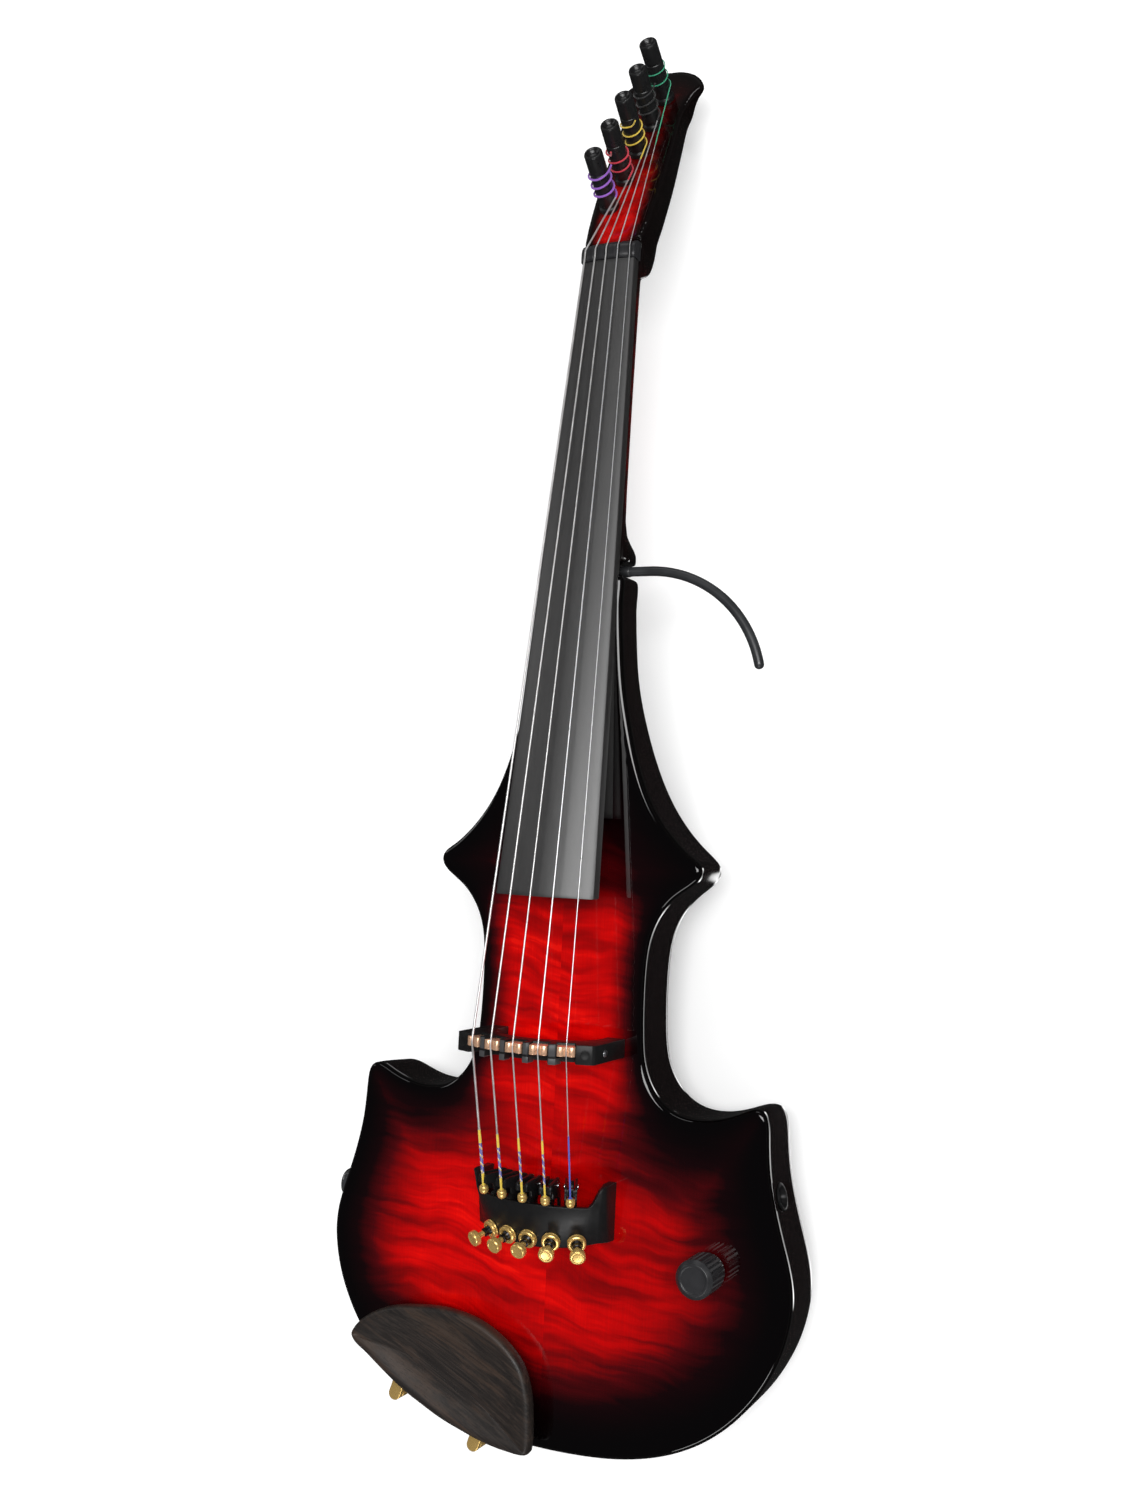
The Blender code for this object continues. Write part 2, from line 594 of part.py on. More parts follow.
bridge = make("bridge", *across_y(profile, BRIDGE_REAR, BRIDGE_FRONT), "bridge_composite")
for k, (x, y) in enumerate(BRIDGE_SCREWS):
    cut(bridge, f"height_screw_way_{k}", turned([(0, -5), (2.2, -5), (2.2, 45), (0, 45)], 12), axes((x, y, 0), (0, 0, 1)))
    make(
        f"height_screw_{'bass' if x < 0 else 'treble'}",
        *turned([(0, -15), (1.4, -15), (1.9, -14.4), (1.9, 25.2), (1.5, 25.7), (0.9, 25.7), (0.9, 23.6), (0, 23.6)], 12),
        "screw_steel",
        axes((x, y, 0), (0, 0, 1)),
    )
for i in range(5):
    r = STRING_R[i]
    h, n = SADDLE_W / 2, r + 0.5
    shape = [(-h, -6.9), (h, -6.9), (h, 0.1), (n + 0.5, 0.3), (n, -0.1), (n * 0.6, -n), (-n * 0.6, -n), (-n, -0.1), (-n - 0.5, 0.3), (-h, 0.1)]
    make(f"saddle_{i + 1}", *across_y([at_saddle(i, a, o) for a, o in shape], -3.1, 0.4), "copper")


# ---------------------------------------------------------------- tailpiece: an arched plate on two legs, with five tongues
def plate_front(a):
    return -63.0 + 8.0 * smoothstep((abs(a) - 33.5) / 8)


def plate_rear(a):
    return -81.0 + 3.5 * (abs(a) / 45) ** 2


def plate_radius(y):
    return CONE_R + (y - CONE_Y) * CONE_SLOPE


def plate_ring(a):
    f, b = plate_front(a), plate_rear(a)
    ring = []
    for y, drop in ((f, 0), (b, 0), (b, PLATE_T), (f, PLATE_T)):
        r = plate_radius(min(y, -62.5)) - drop
        ring.append((r * math.sin(math.radians(a)), y, CONE_Z + r * math.cos(math.radians(a))))
    return ring


stations = [-41, -37, -33, -26, -18, -9, 0, 9, 18, 26, 33, 37, 41]
rings = [plate_ring(a) for a in stations]


def leg(side):
    f, b = plate_front(45), plate_rear(45)
    xo = 29.0
    low = [(xo, f, GAP), (xo, b, GAP), (xo - PLATE_T, b, GAP), (xo - PLATE_T, f, GAP)]
    high = [(xo, f, 8.5), (xo - 0.6, b, 5.5), (xo - PLATE_T, b, 4.0), (xo - PLATE_T, f, 6.0)]
    return [[(side * x, y, z) for x, y, z in r] for r in (low, high)]


left, right = leg(-1), leg(1)
rings = [left[0], left[1]] + rings + [right[1], right[0]]
tail = make("tailpiece", *loft(rings), "black_metal")


def lever_place(i):
    x = string_x(i, TAIL_SPACING)
    lean = math.radians(12.3) * (i - 2)
    up = Vector((math.sin(lean), 0, math.cos(lean)))
    seat = Vector((x, TAIL_Y, arch(x, TAIL_Z, TAIL_ARCH)))
    return axes(seat - up * LEVER_RISE + Vector((0, LEVER_BACK, 0)), (math.cos(lean), 0, -math.sin(lean)), (0, 1, 0))


def screw_place(i):
    """On the plate's outer face, local Z out along the screw."""
    x = string_x(i, RING_SPACING)
    lean = math.asin(x / CONE_R)
    y = RING_Y
    r = plate_radius(y)
    tilt = math.atan(CONE_SLOPE)
    p = (r * math.sin(lean), y, CONE_Z + r * math.cos(lean))
    return axes(p, (math.cos(tilt) * math.sin(lean), -math.sin(tilt), math.cos(tilt) * math.cos(lean)))


# In a lever's axes X is along the strings, towards the bridge, Y is out, away from the body, and Z is the pivot.
TONGUE = [(2.4, -1.0), (2.4, 1.0), (1.2, 2.4), (-3.0, 3.2), (-6.0, 6.4), (-8.5, 7.0), (-12.0, 4.6), (-12.0, 3.0), (-6.5, -1.2), (-1.2, -2.4), (1.2, -2.4)]
CHEEK = [
    (2.6, -2.0), (3.3, 0.0), (3.0, 2.6), (2.3, 10.8), (1.4, 11.7), (-0.6, 11.7), (-1.3, 11.0), (-1.3, 8.1),
    (-4.0, 7.0), (-4.6, 3.0), (-5.0, -2.6), (-15.0, -5.2), (-15.0, -8.0), (-6.0, -5.6), (0.0, -3.4),
]
LEVER_HALF, CHEEK_IN, TONGUE_HALF, PIN_R = 2.7, 1.45, 1.1, 0.95
TIP = 7.4  # from the plate's outer face to the screw's tip
for i in range(5):
    lp, sp = lever_place(i), screw_place(i)
    t = make(f"add_tongue_{i + 1}", *prism(TONGUE, -TONGUE_HALF, TONGUE_HALF), matrix=lp, helper=True)
    boolean(tail, t, "UNION")
    cut(tail, f"pivot_hole_{i + 1}", turned([(0, -2), (PIN_R + 0.3, -2), (PIN_R + 0.3, 2), (0, 2)], 10), lp)
    cut(tail, f"screw_way_{i + 1}", turned([(0, -5), (2.0, -5), (2.0, 3), (0, 3)], 12), sp)
    make(f"tuner_ring_{i + 1}", *turned([(2.1, GAP), (3.7, GAP), (3.7, 1.7), (3.3, 2.2), (2.5, 2.2), (2.1, 1.8)], 16), "gold", sp)
    make(f"tuner_screw_{i + 1}", *turned([(0, -TIP), (0.8, -TIP + 0.2), (1.5, -TIP + 1.1), (1.7, -TIP + 1.4), (1.7, 4.6), (0, 4.6)], 10), "screw_steel", sp)
    make(f"tuner_head_{i + 1}", *turned([(0, 4.9), (1.1, 4.9), (1.1, 7.4), (2.7, 7.7), (3.1, 8.2), (3.1, 10.0), (2.7, 10.5), (0, 10.5)], 16), "gold", sp)
    # The lever's rear arm ends in a pad under the screw's tip.
    tip = lp.inverted() @ (sp @ Vector((0, 0, -TIP)))
    cheeks = [make(f"add_cheek_{s}_{i + 1}", *prism(CHEEK, a, b), matrix=lp, helper=True) for s, a, b in (("l", -LEVER_HALF, -CHEEK_IN), ("r", CHEEK_IN, LEVER_HALF))]
    px, py, pz = tip
    pad_top = py - 0.45
    pad = loft(
        [
            [(-10.6, -4.3, -LEVER_HALF), (-10.6, -4.3, LEVER_HALF), (-10.6, -6.6, LEVER_HALF), (-10.6, -6.6, -LEVER_HALF)],
            [(-14.4, pad_top - 0.3, pz - 2.0), (-14.4, pad_top - 0.3, pz + 2.0), (-14.4, pad_top - 2.9, pz + 2.0), (-14.4, pad_top - 2.9, pz - 2.0)],
            [(px - 2.6, pad_top, pz - 2.0), (px - 2.6, pad_top, pz + 2.0), (px - 2.6, pad_top - 2.5, pz + 2.0), (px - 2.6, pad_top - 2.5, pz - 2.0)],
        ]
    )
    lever = make(f"tuner_lever_{i + 1}", *pad, "black_metal", lp)
    yoke = make(f"add_yoke_{i + 1}", *prism([(-1.3, 6.8), (1.2, 6.8), (1.2, 9.2), (-1.3, 9.2)], -LEVER_HALF + 0.01, LEVER_HALF - 0.01), matrix=lp, helper=True)
    jaws = [make(f"add_jaw_{s}_{i + 1}", *prism([(-1.25, 9.0), (1.2, 9.0), (1.2, 11.6), (-1.25, 11.6)], a, b), matrix=lp, helper=True) for s, a, b in (("l", -LEVER_HALF + 0.02, -0.95), ("r", 0.95, LEVER_HALF - 0.02))]
    pin = make(f"add_pin_{i + 1}", *turned([(0, -LEVER_HALF + 0.2), (PIN_R, -LEVER_HALF + 0.2), (PIN_R, LEVER_HALF - 0.2), (0, LEVER_HALF - 0.2)], 10), matrix=lp, helper=True)
    for other in cheeks + [yoke] + jaws + [pin]:
        boolean(lever, other, "UNION")

# ---------------------------------------------------------------- volume control
up = axes((*KNOB, 0), (0, 0, 1))
make("volume_knob", *turned([(0, 17.0), (5.9, 17.0), (7.5, 15.4), (7.5, 3.0), (7.0, 1.0), (5.4, 1.0), (5.4, 3.4), (2.2, 3.4), (2.2, 13.0), (0, 13.0)], 24), "knob_black", up)
make("pot_shaft", *turned([(0, -12.0), (1.8, -12.0), (1.8, 12.6), (0, 12.6)], 12), "pot_steel", up)
make(
    "potentiometer",
    *turned([(0, -19), (8, -19), (8, -8.7), (3.6, -8.7), (3.6, 0.4), (4.8, 0.4), (4.8, 2.6), (2.1, 2.6), (2.1, -12.4), (0, -12.4)], 16),
    "pot_steel",
    up,
)
make(
    "output_jack",
    *turned([(3.2, -22), (4.4, -22), (4.4, 0.4), (6.4, 0.4), (6.4, 5.8), (5.6, 6.8), (3.4, 6.8), (3.2, 6.5)], 20),
    "chrome",
    axes((-97.0, JACK_Y, JACK_Z), (-1, 0, 0), (0, 0, 1)),
)
make("control_cover", *prism(rounded(65, -83, 44, 58, 7), -33.9, -31.6), "cover_plastic")
cover = bpy.data.objects["control_cover"]
for k, (x, y) in enumerate(COVER_SCREWS):
    cut(cover, f"cover_hole_{k}", turned([(0, -40), (2.5, -40), (2.5, -32.6), (1.5, -32.2), (1.5, -28), (0, -28)], 12), axes((x, y, 0), (0, 0, 1)))
    make(f"cover_screw_{k + 1}", *turned([(0, -33.9), (2.2, -33.9), (2.2, -33.0), (0.9, -32.2), (0.9, -23.5), (0, -23)], 10), "screw_steel", axes((x, y, 0), (0, 0, 1)))
make("wire_pickup", *tube([(18.5, -2.6, 15.4), (18.5, -2.6, 1), (18.5, -2.6, -10.6), (22, -8, -14), (52, -70, -14), (58, -76, -20.5), (64, -80, -20.5)], 1.2, 6), "wire_pvc")
make("wire_output", *tube([(-72, JACK_Y, -13.6), (-40, JACK_Y, -17), (50, JACK_Y, -17), (58, -82, -21), (68, -86, -21)], 1.2, 6), "wire_pvc")

# ---------------------------------------------------------------- chin rest on a two-barrel clamp
CHIN = [
    (-83.8, -130.6), (-79.6, -124.6), (-73.6, -120.4), (-64.6, -116.6), (-54.0, -114.6), (-41.2, -113.4), (-27.2, -114.9), (-17.8, -118.4), (-9.4, -123.9),
    (-3.4, -130.6), (0.2, -140.8), (1.2, -149.0), (1.4, -159.4), (0.2, -163.2), (-9.5, -163.6), (-20.6, -162.0), (-30.0, -159.6), (-38.8, -157.0), (-48.6, -153.0),
    (-58.2, -148.6), (-68.0, -142.8), (-75.4, -138.0), (-82.4, -133.6),
]
chin = smooth_closed(CHIN, 1)
centre = np.array([-38.0, -139.0])


def shrunk(share):
    return centre + (chin - centre) * share


rings = [[(x, y, z) for x, y in shrunk(s)] for s, z in ((0.90, 3.6), (1.0, 6.4), (1.0, 10.6), (0.975, 12.0), (0.90, 11.6), (0.62, 9.9), (0.3, 9.2))]
make("chinrest_plate", *loft(rings), "chinrest_ebony")
A, B = Vector((*CLAMP_A, 0)), Vector((*CLAMP_B, 0))
E = (B - A).normalized()
O = Vector((E.y, -E.x, 0))
span = (B - A).length


def on_clamp(points):
    return [tuple((A + E * e + O * o).to_2d()) for e, o in points]


FOOT = [(-2.8, 2.9), (2.8, 2.9), (2.8, -7), (span - 2.8, -7), (span - 2.8, 2.9), (span + 2.8, 2.9), (span + 2.8, -17), (-2.8, -17)]
upper = make("chinrest_clamp_upper", *prism(on_clamp(FOOT), 0.6, 3.2), "gold")
lower = make("chinrest_clamp_lower", *prism(on_clamp(FOOT), -36.6, -34.4), "gold", axes((0, 0, 0), (0, 0, 1)))
for k, p in enumerate((A, B)):
    boolean(upper, make(f"add_stud_up_{k}", *turned([(0, -9), (1.5, -9), (1.5, 2.0), (0, 2.0)], 10), matrix=axes(p, (0, 0, 1)), helper=True), "UNION")
    boolean(lower, make(f"add_stud_low_{k}", *turned([(0, -36.0), (1.5, -36.0), (1.5, -19), (0, -19)], 10), matrix=axes(p, (0, 0, 1)), helper=True), "UNION")
    make(f"chinrest_barrel_{k + 1}", *turned([(1.8, -28), (2.7, -28), (2.7, -0.2), (1.8, -0.2)], 12), "gold", axes(p, (0, 0, 1)))

# ---------------------------------------------------------------- shoulder rod
ROD_CENTRE, ROD_BEND = (27.0, 140.6), 50.0
path = [(7.0, ROD_Y, ROD_Z), (14.4, ROD_Y, ROD_Z), (14.5, ROD_Y, ROD_Z), (18.5, ROD_Y, ROD_Z), (18.6, ROD_Y, ROD_Z)]
radii = [ROD_R, ROD_R, 2.9, 2.9, ROD_R]
for k in range(15):
    a = math.radians(90 - 77.5 * k / 14)
    path.append((ROD_CENTRE[0] + ROD_BEND * math.cos(a), ROD_CENTRE[1] + ROD_BEND * math.sin(a), ROD_Z))
    radii.append(ROD_R)
a = math.radians(90 - 79.2)
path += [(ROD_CENTRE[0] + ROD_BEND * math.cos(a), ROD_CENTRE[1] + ROD_BEND * math.sin(a), ROD_Z)]
radii += [1.2]
make("shoulder_rod", *tube(path, radii, 10), "rod_black")

# ---------------------------------------------------------------- the way it lies
REST_TILT = math.radians(4.6)
rest.rotation_euler = (REST_TILT, 0, 0)
bpy.context.view_layer.update()
graph = bpy.context.evaluated_depsgraph_get()
low, high = Vector((1e9,) * 3), Vector((-1e9,) * 3)
for ob in bpy.data.objects:
    if ob.type == "MESH" and not ob.hide_render:
        shown = ob.evaluated_get(graph)
        for v in shown.data.vertices:
            p = shown.matrix_world @ v.co
            low = Vector(min(a, b) for a, b in zip(low, p))
            high = Vector(max(a, b) for a, b in zip(high, p))
rest.location = (-(low.x + high.x) / 2, -(low.y + high.y) / 2, -low.z)
bpy.context.view_layer.update()
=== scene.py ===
import math

import bmesh
import bpy
import numpy as np
from mathutils import Matrix, Vector
from mathutils.geometry import delaunay_2d_cdt


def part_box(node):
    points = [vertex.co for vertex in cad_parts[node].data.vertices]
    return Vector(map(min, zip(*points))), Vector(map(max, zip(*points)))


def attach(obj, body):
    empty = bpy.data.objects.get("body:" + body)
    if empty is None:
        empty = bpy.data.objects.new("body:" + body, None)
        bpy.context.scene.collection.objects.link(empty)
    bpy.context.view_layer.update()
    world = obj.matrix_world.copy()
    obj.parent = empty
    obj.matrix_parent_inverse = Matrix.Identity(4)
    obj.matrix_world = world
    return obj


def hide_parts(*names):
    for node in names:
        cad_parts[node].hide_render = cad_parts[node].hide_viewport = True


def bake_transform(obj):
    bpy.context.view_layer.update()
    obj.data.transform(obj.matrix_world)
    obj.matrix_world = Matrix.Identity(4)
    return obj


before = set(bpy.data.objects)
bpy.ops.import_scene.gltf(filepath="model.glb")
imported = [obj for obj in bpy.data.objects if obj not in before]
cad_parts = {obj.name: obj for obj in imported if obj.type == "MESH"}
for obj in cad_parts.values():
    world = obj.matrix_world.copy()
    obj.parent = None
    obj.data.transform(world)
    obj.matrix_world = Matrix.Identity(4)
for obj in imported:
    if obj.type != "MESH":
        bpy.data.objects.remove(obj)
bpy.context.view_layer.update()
ROOT = "violin"

# ------------------------------------------------------------------ the same figures as the CAD, in millimetres
STRING_R = [0.60, 0.52, 0.46, 0.42, 0.36]
NUT_SPACING, NUT_Z, NUT_ARCH = 5.2, -10.6, 45.0
BRIDGE_SPACING, BRIDGE_Z, BRIDGE_ARCH = 10.2, 39.4, 41.2
TAIL_SPACING, TAIL_Y, TAIL_Z, TAIL_ARCH = 9.5, -60.3, 24.7, 49.0
BODY_TOP, BODY_THICK, HEEL_THICK, WALL_SHARE, BACK_TAPER = 4.0, 34.0, 21.0, 0.70, 4.0
BOARD_END, BOARD_NUT, BOARD_HALF_END, BOARD_HALF_NUT = 56.2, 325.3, 21.8, 12.0
BOARD_EDGE_Z, BOARD_SLOPE, BOARD_SIDE, BOARD_R = 18.6, -0.1186, 5.0, 42.0
HEAD_Y, HEAD_Z, HEAD_RAKE, HEAD_T0, HEAD_T1 = 334.0, -16.0, math.radians(27.0), 15.0, 8.5
PEG_U = [-6.5, -3.3, -0.7, 2.0, 4.0]
PEG_V = [22.5, 39.7, 56.9, 74.1, 91.3]
PEG_R, PEG_L = 4.0, 29.5
PEG_LEAN = [6.0, 6.0, 5.5, 5.0, 3.0]
WRAP_H = [6.6, 5.0, 4.6, 6.0, 7.0]
WRAP_TURNS = [2.9, 2.7, 2.8, 2.9, 2.2]
WRAP_PITCH = [4.6, 4.4, 4.4, 4.4, 5.0]
BRIDGE_HALF, BRIDGE_FRONT, BRIDGE_REAR, SADDLE_W = 30.0, 1.3, -6.1, 7.0
CONE_Z, CONE_R, CONE_Y, CONE_SLOPE, PLATE_T = -21.0, 38.0, -78.0, math.tan(math.radians(21.0)), 3.0
RING_SPACING, RING_Y, LEVER_RISE, LEVER_BACK, TIP = 9.2, -77.3, 10.5, 3.6, 7.4
KNOB = (68.9, -82.7)
JACK_Y, JACK_Z = -75.0, -11.0
CLAMP_A, CLAMP_B = (-66.0, -154.5), (-28.0, -167.5)
REST_TILT = math.radians(4.6)

# Where the playing axes stand in the row frame: the pot shaft's box has its middle at a known point.
R3 = Matrix.Rotation(REST_TILT, 3, "X")
lo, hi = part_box("pot_shaft")
REST_T = (Vector(lo) + Vector(hi)) / 2 - R3 @ Vector((KNOB[0], KNOB[1], 0.3)) * 0.001
REST = Matrix.Translation(REST_T) @ R3.to_4x4() @ Matrix.Scale(0.001, 4)


def W(p):
    """A point in playing millimetres as a point in the row frame."""
    return REST @ Vector(p)


# ------------------------------------------------------------------ material nodes
class Mat:
    def __init__(self, name, rough=0.4, metal=0.0, colour=(0.5, 0.5, 0.5), **sockets):
        self.m = bpy.data.materials.new(name)
        self.m.use_nodes = True
        self.t = self.m.node_tree
        self.b = self.t.nodes["Principled BSDF"]
        self.b.inputs["Base Color"].default_value = (*colour, 1)
        self.b.inputs["Roughness"].default_value = rough
        self.b.inputs["Metallic"].default_value = metal
        for k, v in sockets.items():
            self.b.inputs[k.replace("_", " ")].default_value = v

    def node(self, kind, **kw):
        n = self.t.nodes.new(kind)
        for k, v in kw.items():
            setattr(n, k, v)
        return n

    def put(self, socket, value):
        if hasattr(value, "is_linked"):
            self.t.links.new(value, socket)
        elif value is not None:
            socket.default_value = value

    def pl(self):
        """Playing coordinates, in millimetres."""
        n = self.node("ShaderNodeAttribute", attribute_name="pl")
        return n.outputs["Vector"]

    def attr(self, name):
        return self.node("ShaderNodeAttribute", attribute_name=name).outputs["Fac"]

    def math(self, op, a, b=None, c=None, clamp=False):
        n = self.node("ShaderNodeMath", operation=op, use_clamp=clamp)
        for s, v in zip(n.inputs, (a, b, c)):
            self.put(s, v)
        return n.outputs[0]

    def scaled(self, v, s, off=(0, 0, 0)):
        n = self.node("ShaderNodeMapping")
        self.put(n.inputs["Vector"], v)
        n.inputs["Scale"].default_value = s
        n.inputs["Location"].default_value = off
        return n.outputs[0]

    def noise(self, v, scale=1.0, detail=3.0, rough=0.5, distort=0.0):
        n = self.node("ShaderNodeTexNoise")
        self.put(n.inputs["Vector"], v)
        n.inputs["Scale"].default_value = scale
        n.inputs["Detail"].default_value = detail
        n.inputs["Roughness"].default_value = rough
        n.inputs["Distortion"].default_value = distort
        return n.outputs["Fac"]

    def ramp(self, fac, stops, interpolation="LINEAR"):
        n = self.node("ShaderNodeValToRGB")
        n.color_ramp.interpolation = interpolation
        e = n.color_ramp.elements
        while len(e) > 1:
            e.remove(e[-1])
        e[0].position, e[0].color = stops[0][0], (*stops[0][1], 1) if len(stops[0][1]) == 3 else stops[0][1]
        for p, c in stops[1:]:
            x = e.new(p)
            x.color = (*c, 1) if len(c) == 3 else c
        self.put(n.inputs["Fac"], fac)
        return n.outputs["Color"]

    def grey(self, fac, a, b, x0=0.0, x1=1.0):
        n = self.node("ShaderNodeMapRange")
        n.clamp = True
        self.put(n.inputs["Value"], fac)
        n.inputs["From Min"].default_value = x0
        n.inputs["From Max"].default_value = x1
        n.inputs["To Min"].default_value = a
        n.inputs["To Max"].default_value = b
        return n.outputs["Result"]

    def mix(self, fac, a, b, blend="MIX"):
        n = self.node("ShaderNodeMix", data_type="RGBA", blend_type=blend)
        self.put(n.inputs[0], fac)
        self.put(n.inputs[6], a if hasattr(a, "is_linked") else (*a, 1))
        self.put(n.inputs[7], b if hasattr(b, "is_linked") else (*b, 1))
        return n.outputs[2]

    def split(self, v):
        n = self.node("ShaderNodeSeparateXYZ")
        self.put(n.inputs[0], v)
        return n.outputs

    def join(self, x, y, z):
        n = self.node("ShaderNodeCombineXYZ")
        for s, v in zip(n.inputs, (x, y, z)):
            self.put(s, v)
        return n.outputs[0]

    def bump(self, height, strength=0.2, distance=0.0001, normal=None):
        n = self.node("ShaderNodeBump")
        n.inputs["Strength"].default_value = strength
        n.inputs["Distance"].default_value = distance
        self.put(n.inputs["Height"], height)
        if normal is not None:
            self.put(n.inputs["Normal"], normal)
        return n.outputs[0]

    def set(self, **kw):
        for k, v in kw.items():
            self.put(self.b.inputs[k.replace("_", " ")], v)
        return self.m


def lacquer(m, orange=0.05):
    """A polished clear coat: faint orange peel."""
    p = m.pl()
    peel = m.noise(p, 0.22, 2, 0.5)
    m.set(Normal=m.bump(peel, orange, 0.0002))


def mat_black_lacquer():
    m = Mat("black_lacquer_body", rough=0.07, colour=(0.0035, 0.003, 0.003), IOR=1.5)
    p = m.pl()
    m.set(Base_Color=m.ramp(m.noise(p, 0.03, 3), [(0.3, (0.002, 0.0015, 0.0015)), (0.75, (0.007, 0.004, 0.004))]))
    m.set(Roughness=m.grey(m.noise(p, 0.12, 4), 0.05, 0.10, 0.3, 0.7))
    lacquer(m, 0.04)
    return m.m


def mat_burst():
    """Bookmatched quilted maple under transparent red, with a black edge."""
    m = Mat("red_burst_maple", rough=0.42, Specular_IOR_Level=0.0, Coat_Weight=1.0, Coat_Roughness=0.03, Coat_IOR=1.5)
    x, y, z = m.split(m.pl())
    side = m.math("ABSOLUTE", x)
    swirl = m.noise(m.join(m.math("MULTIPLY", x, 0.014), m.math("MULTIPLY", y, 0.012), 3.1), 1.0, 2, 0.5)
    swirl2 = m.noise(m.join(m.math("MULTIPLY", x, 0.05), m.math("MULTIPLY", y, 0.05), 9.7), 1.0, 2, 0.5)
    q = m.math("ADD", y, m.math("MULTIPLY", m.math("SUBTRACT", swirl, 0.5), 30.0))
    q = m.math("ADD", q, m.math("MULTIPLY", m.math("SUBTRACT", swirl2, 0.5), 7.0))
    q = m.math("ADD", q, m.math("MULTIPLY", x, 0.10))
    halves = m.math("MULTIPLY", m.math("SIGN", x), 0.16)
    flame = m.noise(m.join(m.math("MULTIPLY", x, 0.020), m.math("ADD", m.math("MULTIPLY", q, 0.135), halves), 0.0), 1.0, 2.4, 0.52, 0.18)
    cloud = m.noise(m.join(m.math("MULTIPLY", x, 0.028), m.math("MULTIPLY", y, 0.045), 21.0), 1.0, 2, 0.5)
    fine = m.noise(m.join(m.math("MULTIPLY", x, 0.045), m.math("MULTIPLY", q, 0.40), 5.0), 1.0, 2, 0.5, 0.2)
    figure = m.grey(flame, 0.66, 1.0, 0.34, 0.56)
    figure = m.math("MULTIPLY", figure, m.grey(cloud, 0.84, 1.05, 0.35, 0.62))
    figure = m.math("MULTIPLY", figure, m.grey(fine, 0.88, 1.03, 0.34, 0.58))
    grain = m.noise(m.join(m.math("MULTIPLY", x, 1.6), m.math("MULTIPLY", y, 0.05), 0.0), 1.0, 3, 0.6)
    figure = m.math("MULTIPLY", figure, m.grey(grain, 0.94, 1.03, 0.3, 0.7))
    half_tone = m.grey(m.math("SIGN", x), 1.0, 0.92, -1.0, 1.0)
    figure = m.math("MULTIPLY", figure, half_tone)
    burst = m.attr("burst")
    level = m.math("MULTIPLY", burst, figure)
    red = m.ramp(level, [(0.0, (0.0006, 0.0003, 0.0004)), (0.10, (0.005, 0.0004, 0.0008)), (0.28, (0.055, 0.0008, 0.0018)), (0.5, (0.21, 0.0007, 0.0012)), (0.75, (0.43, 0.0008, 0.0010)), (0.92, (0.60, 0.0018, 0.0012)), (1.0, (0.72, 0.0048, 0.0020))])
    m.set(Base_Color=red, Roughness=m.grey(flame, 0.26, 0.42, 0.3, 0.7))
    peel = m.noise(m.pl(), 0.22, 2, 0.5)
    m.put(m.b.inputs["Coat Normal"], m.bump(peel, 0.03, 0.0002))
    m.set(Normal=m.bump(flame, 0.10, 0.0003))
    return m.m


def mat_neck():
    """Red to black burst lacquer over plain maple, on the neck and the head."""
    m = Mat("neck_red_black", rough=0.4, Specular_IOR_Level=0.0, Coat_Weight=1.0, Coat_Roughness=0.04, Coat_IOR=1.5)
    x, y, z = m.split(m.pl())
    grain = m.noise(m.join(m.math("MULTIPLY", x, 0.9), m.math("MULTIPLY", y, 0.035), m.math("MULTIPLY", z, 0.9)), 1.0, 3, 0.6)
    flame = m.noise(m.join(m.math("MULTIPLY", x, 0.05), m.math("MULTIPLY", y, 0.22), m.math("MULTIPLY", z, 0.05)), 1.0, 2, 0.5, 0.3)
    level = m.math("MULTIPLY", m.attr("burst"), m.grey(flame, 0.62, 1.0, 0.32, 0.66))
    level = m.math("MULTIPLY", level, m.grey(grain, 0.84, 1.05, 0.3, 0.7))
    red = m.ramp(level, [(0.0, (0.002, 0.001, 0.001)), (0.15, (0.010, 0.001, 0.001)), (0.4, (0.11, 0.0012, 0.0012)), (0.7, (0.36, 0.0020, 0.0016)), (1.0, (0.60, 0.0040, 0.0025))])
    m.set(Base_Color=red)
    m.put(m.b.inputs["Coat Normal"], m.bump(m.noise(m.pl(), 0.22, 2), 0.04, 0.0002))
    return m.m


def mat_ebony(name, dark, light, rough=(0.34, 0.46), spec=0.45):
    m = Mat(name, rough=0.4, Specular_IOR_Level=spec)
    x, y, z = m.split(m.pl())
    streak = m.noise(m.join(m.math("MULTIPLY", x, 0.55), m.math("MULTIPLY", y, 0.018), m.math("MULTIPLY", z, 0.55)), 1.0, 4, 0.6, 0.2)
    fine = m.noise(m.join(m.math("MULTIPLY", x, 5.0), m.math("MULTIPLY", y, 0.12), m.math("MULTIPLY", z, 5.0)), 1.0, 2, 0.6)
    pores = m.noise(m.join(m.math("MULTIPLY", x, 6.0), m.math("MULTIPLY", y, 0.5), m.math("MULTIPLY", z, 6.0)), 1.0, 1, 0.5)
    col = m.ramp(streak, [(0.28, dark), (0.72, light)])
    col = m.mix(m.grey(fine, 0.0, 0.5, 0.45, 0.75), col, tuple(c * 1.6 for c in light))
    pit = m.grey(pores, 1.0, 0.0, 0.62, 0.70)
    col = m.mix(m.grey(pores, 0.0, 0.7, 0.64, 0.72), col, tuple(c * 0.3 for c in dark))
    m.set(Base_Color=col, Roughness=m.grey(fine, rough[0], rough[1], 0.3, 0.7))
    m.set(Normal=m.bump(m.math("ADD", m.math("MULTIPLY", fine, 0.5), pit), 0.18, 0.00006))
    return m.m


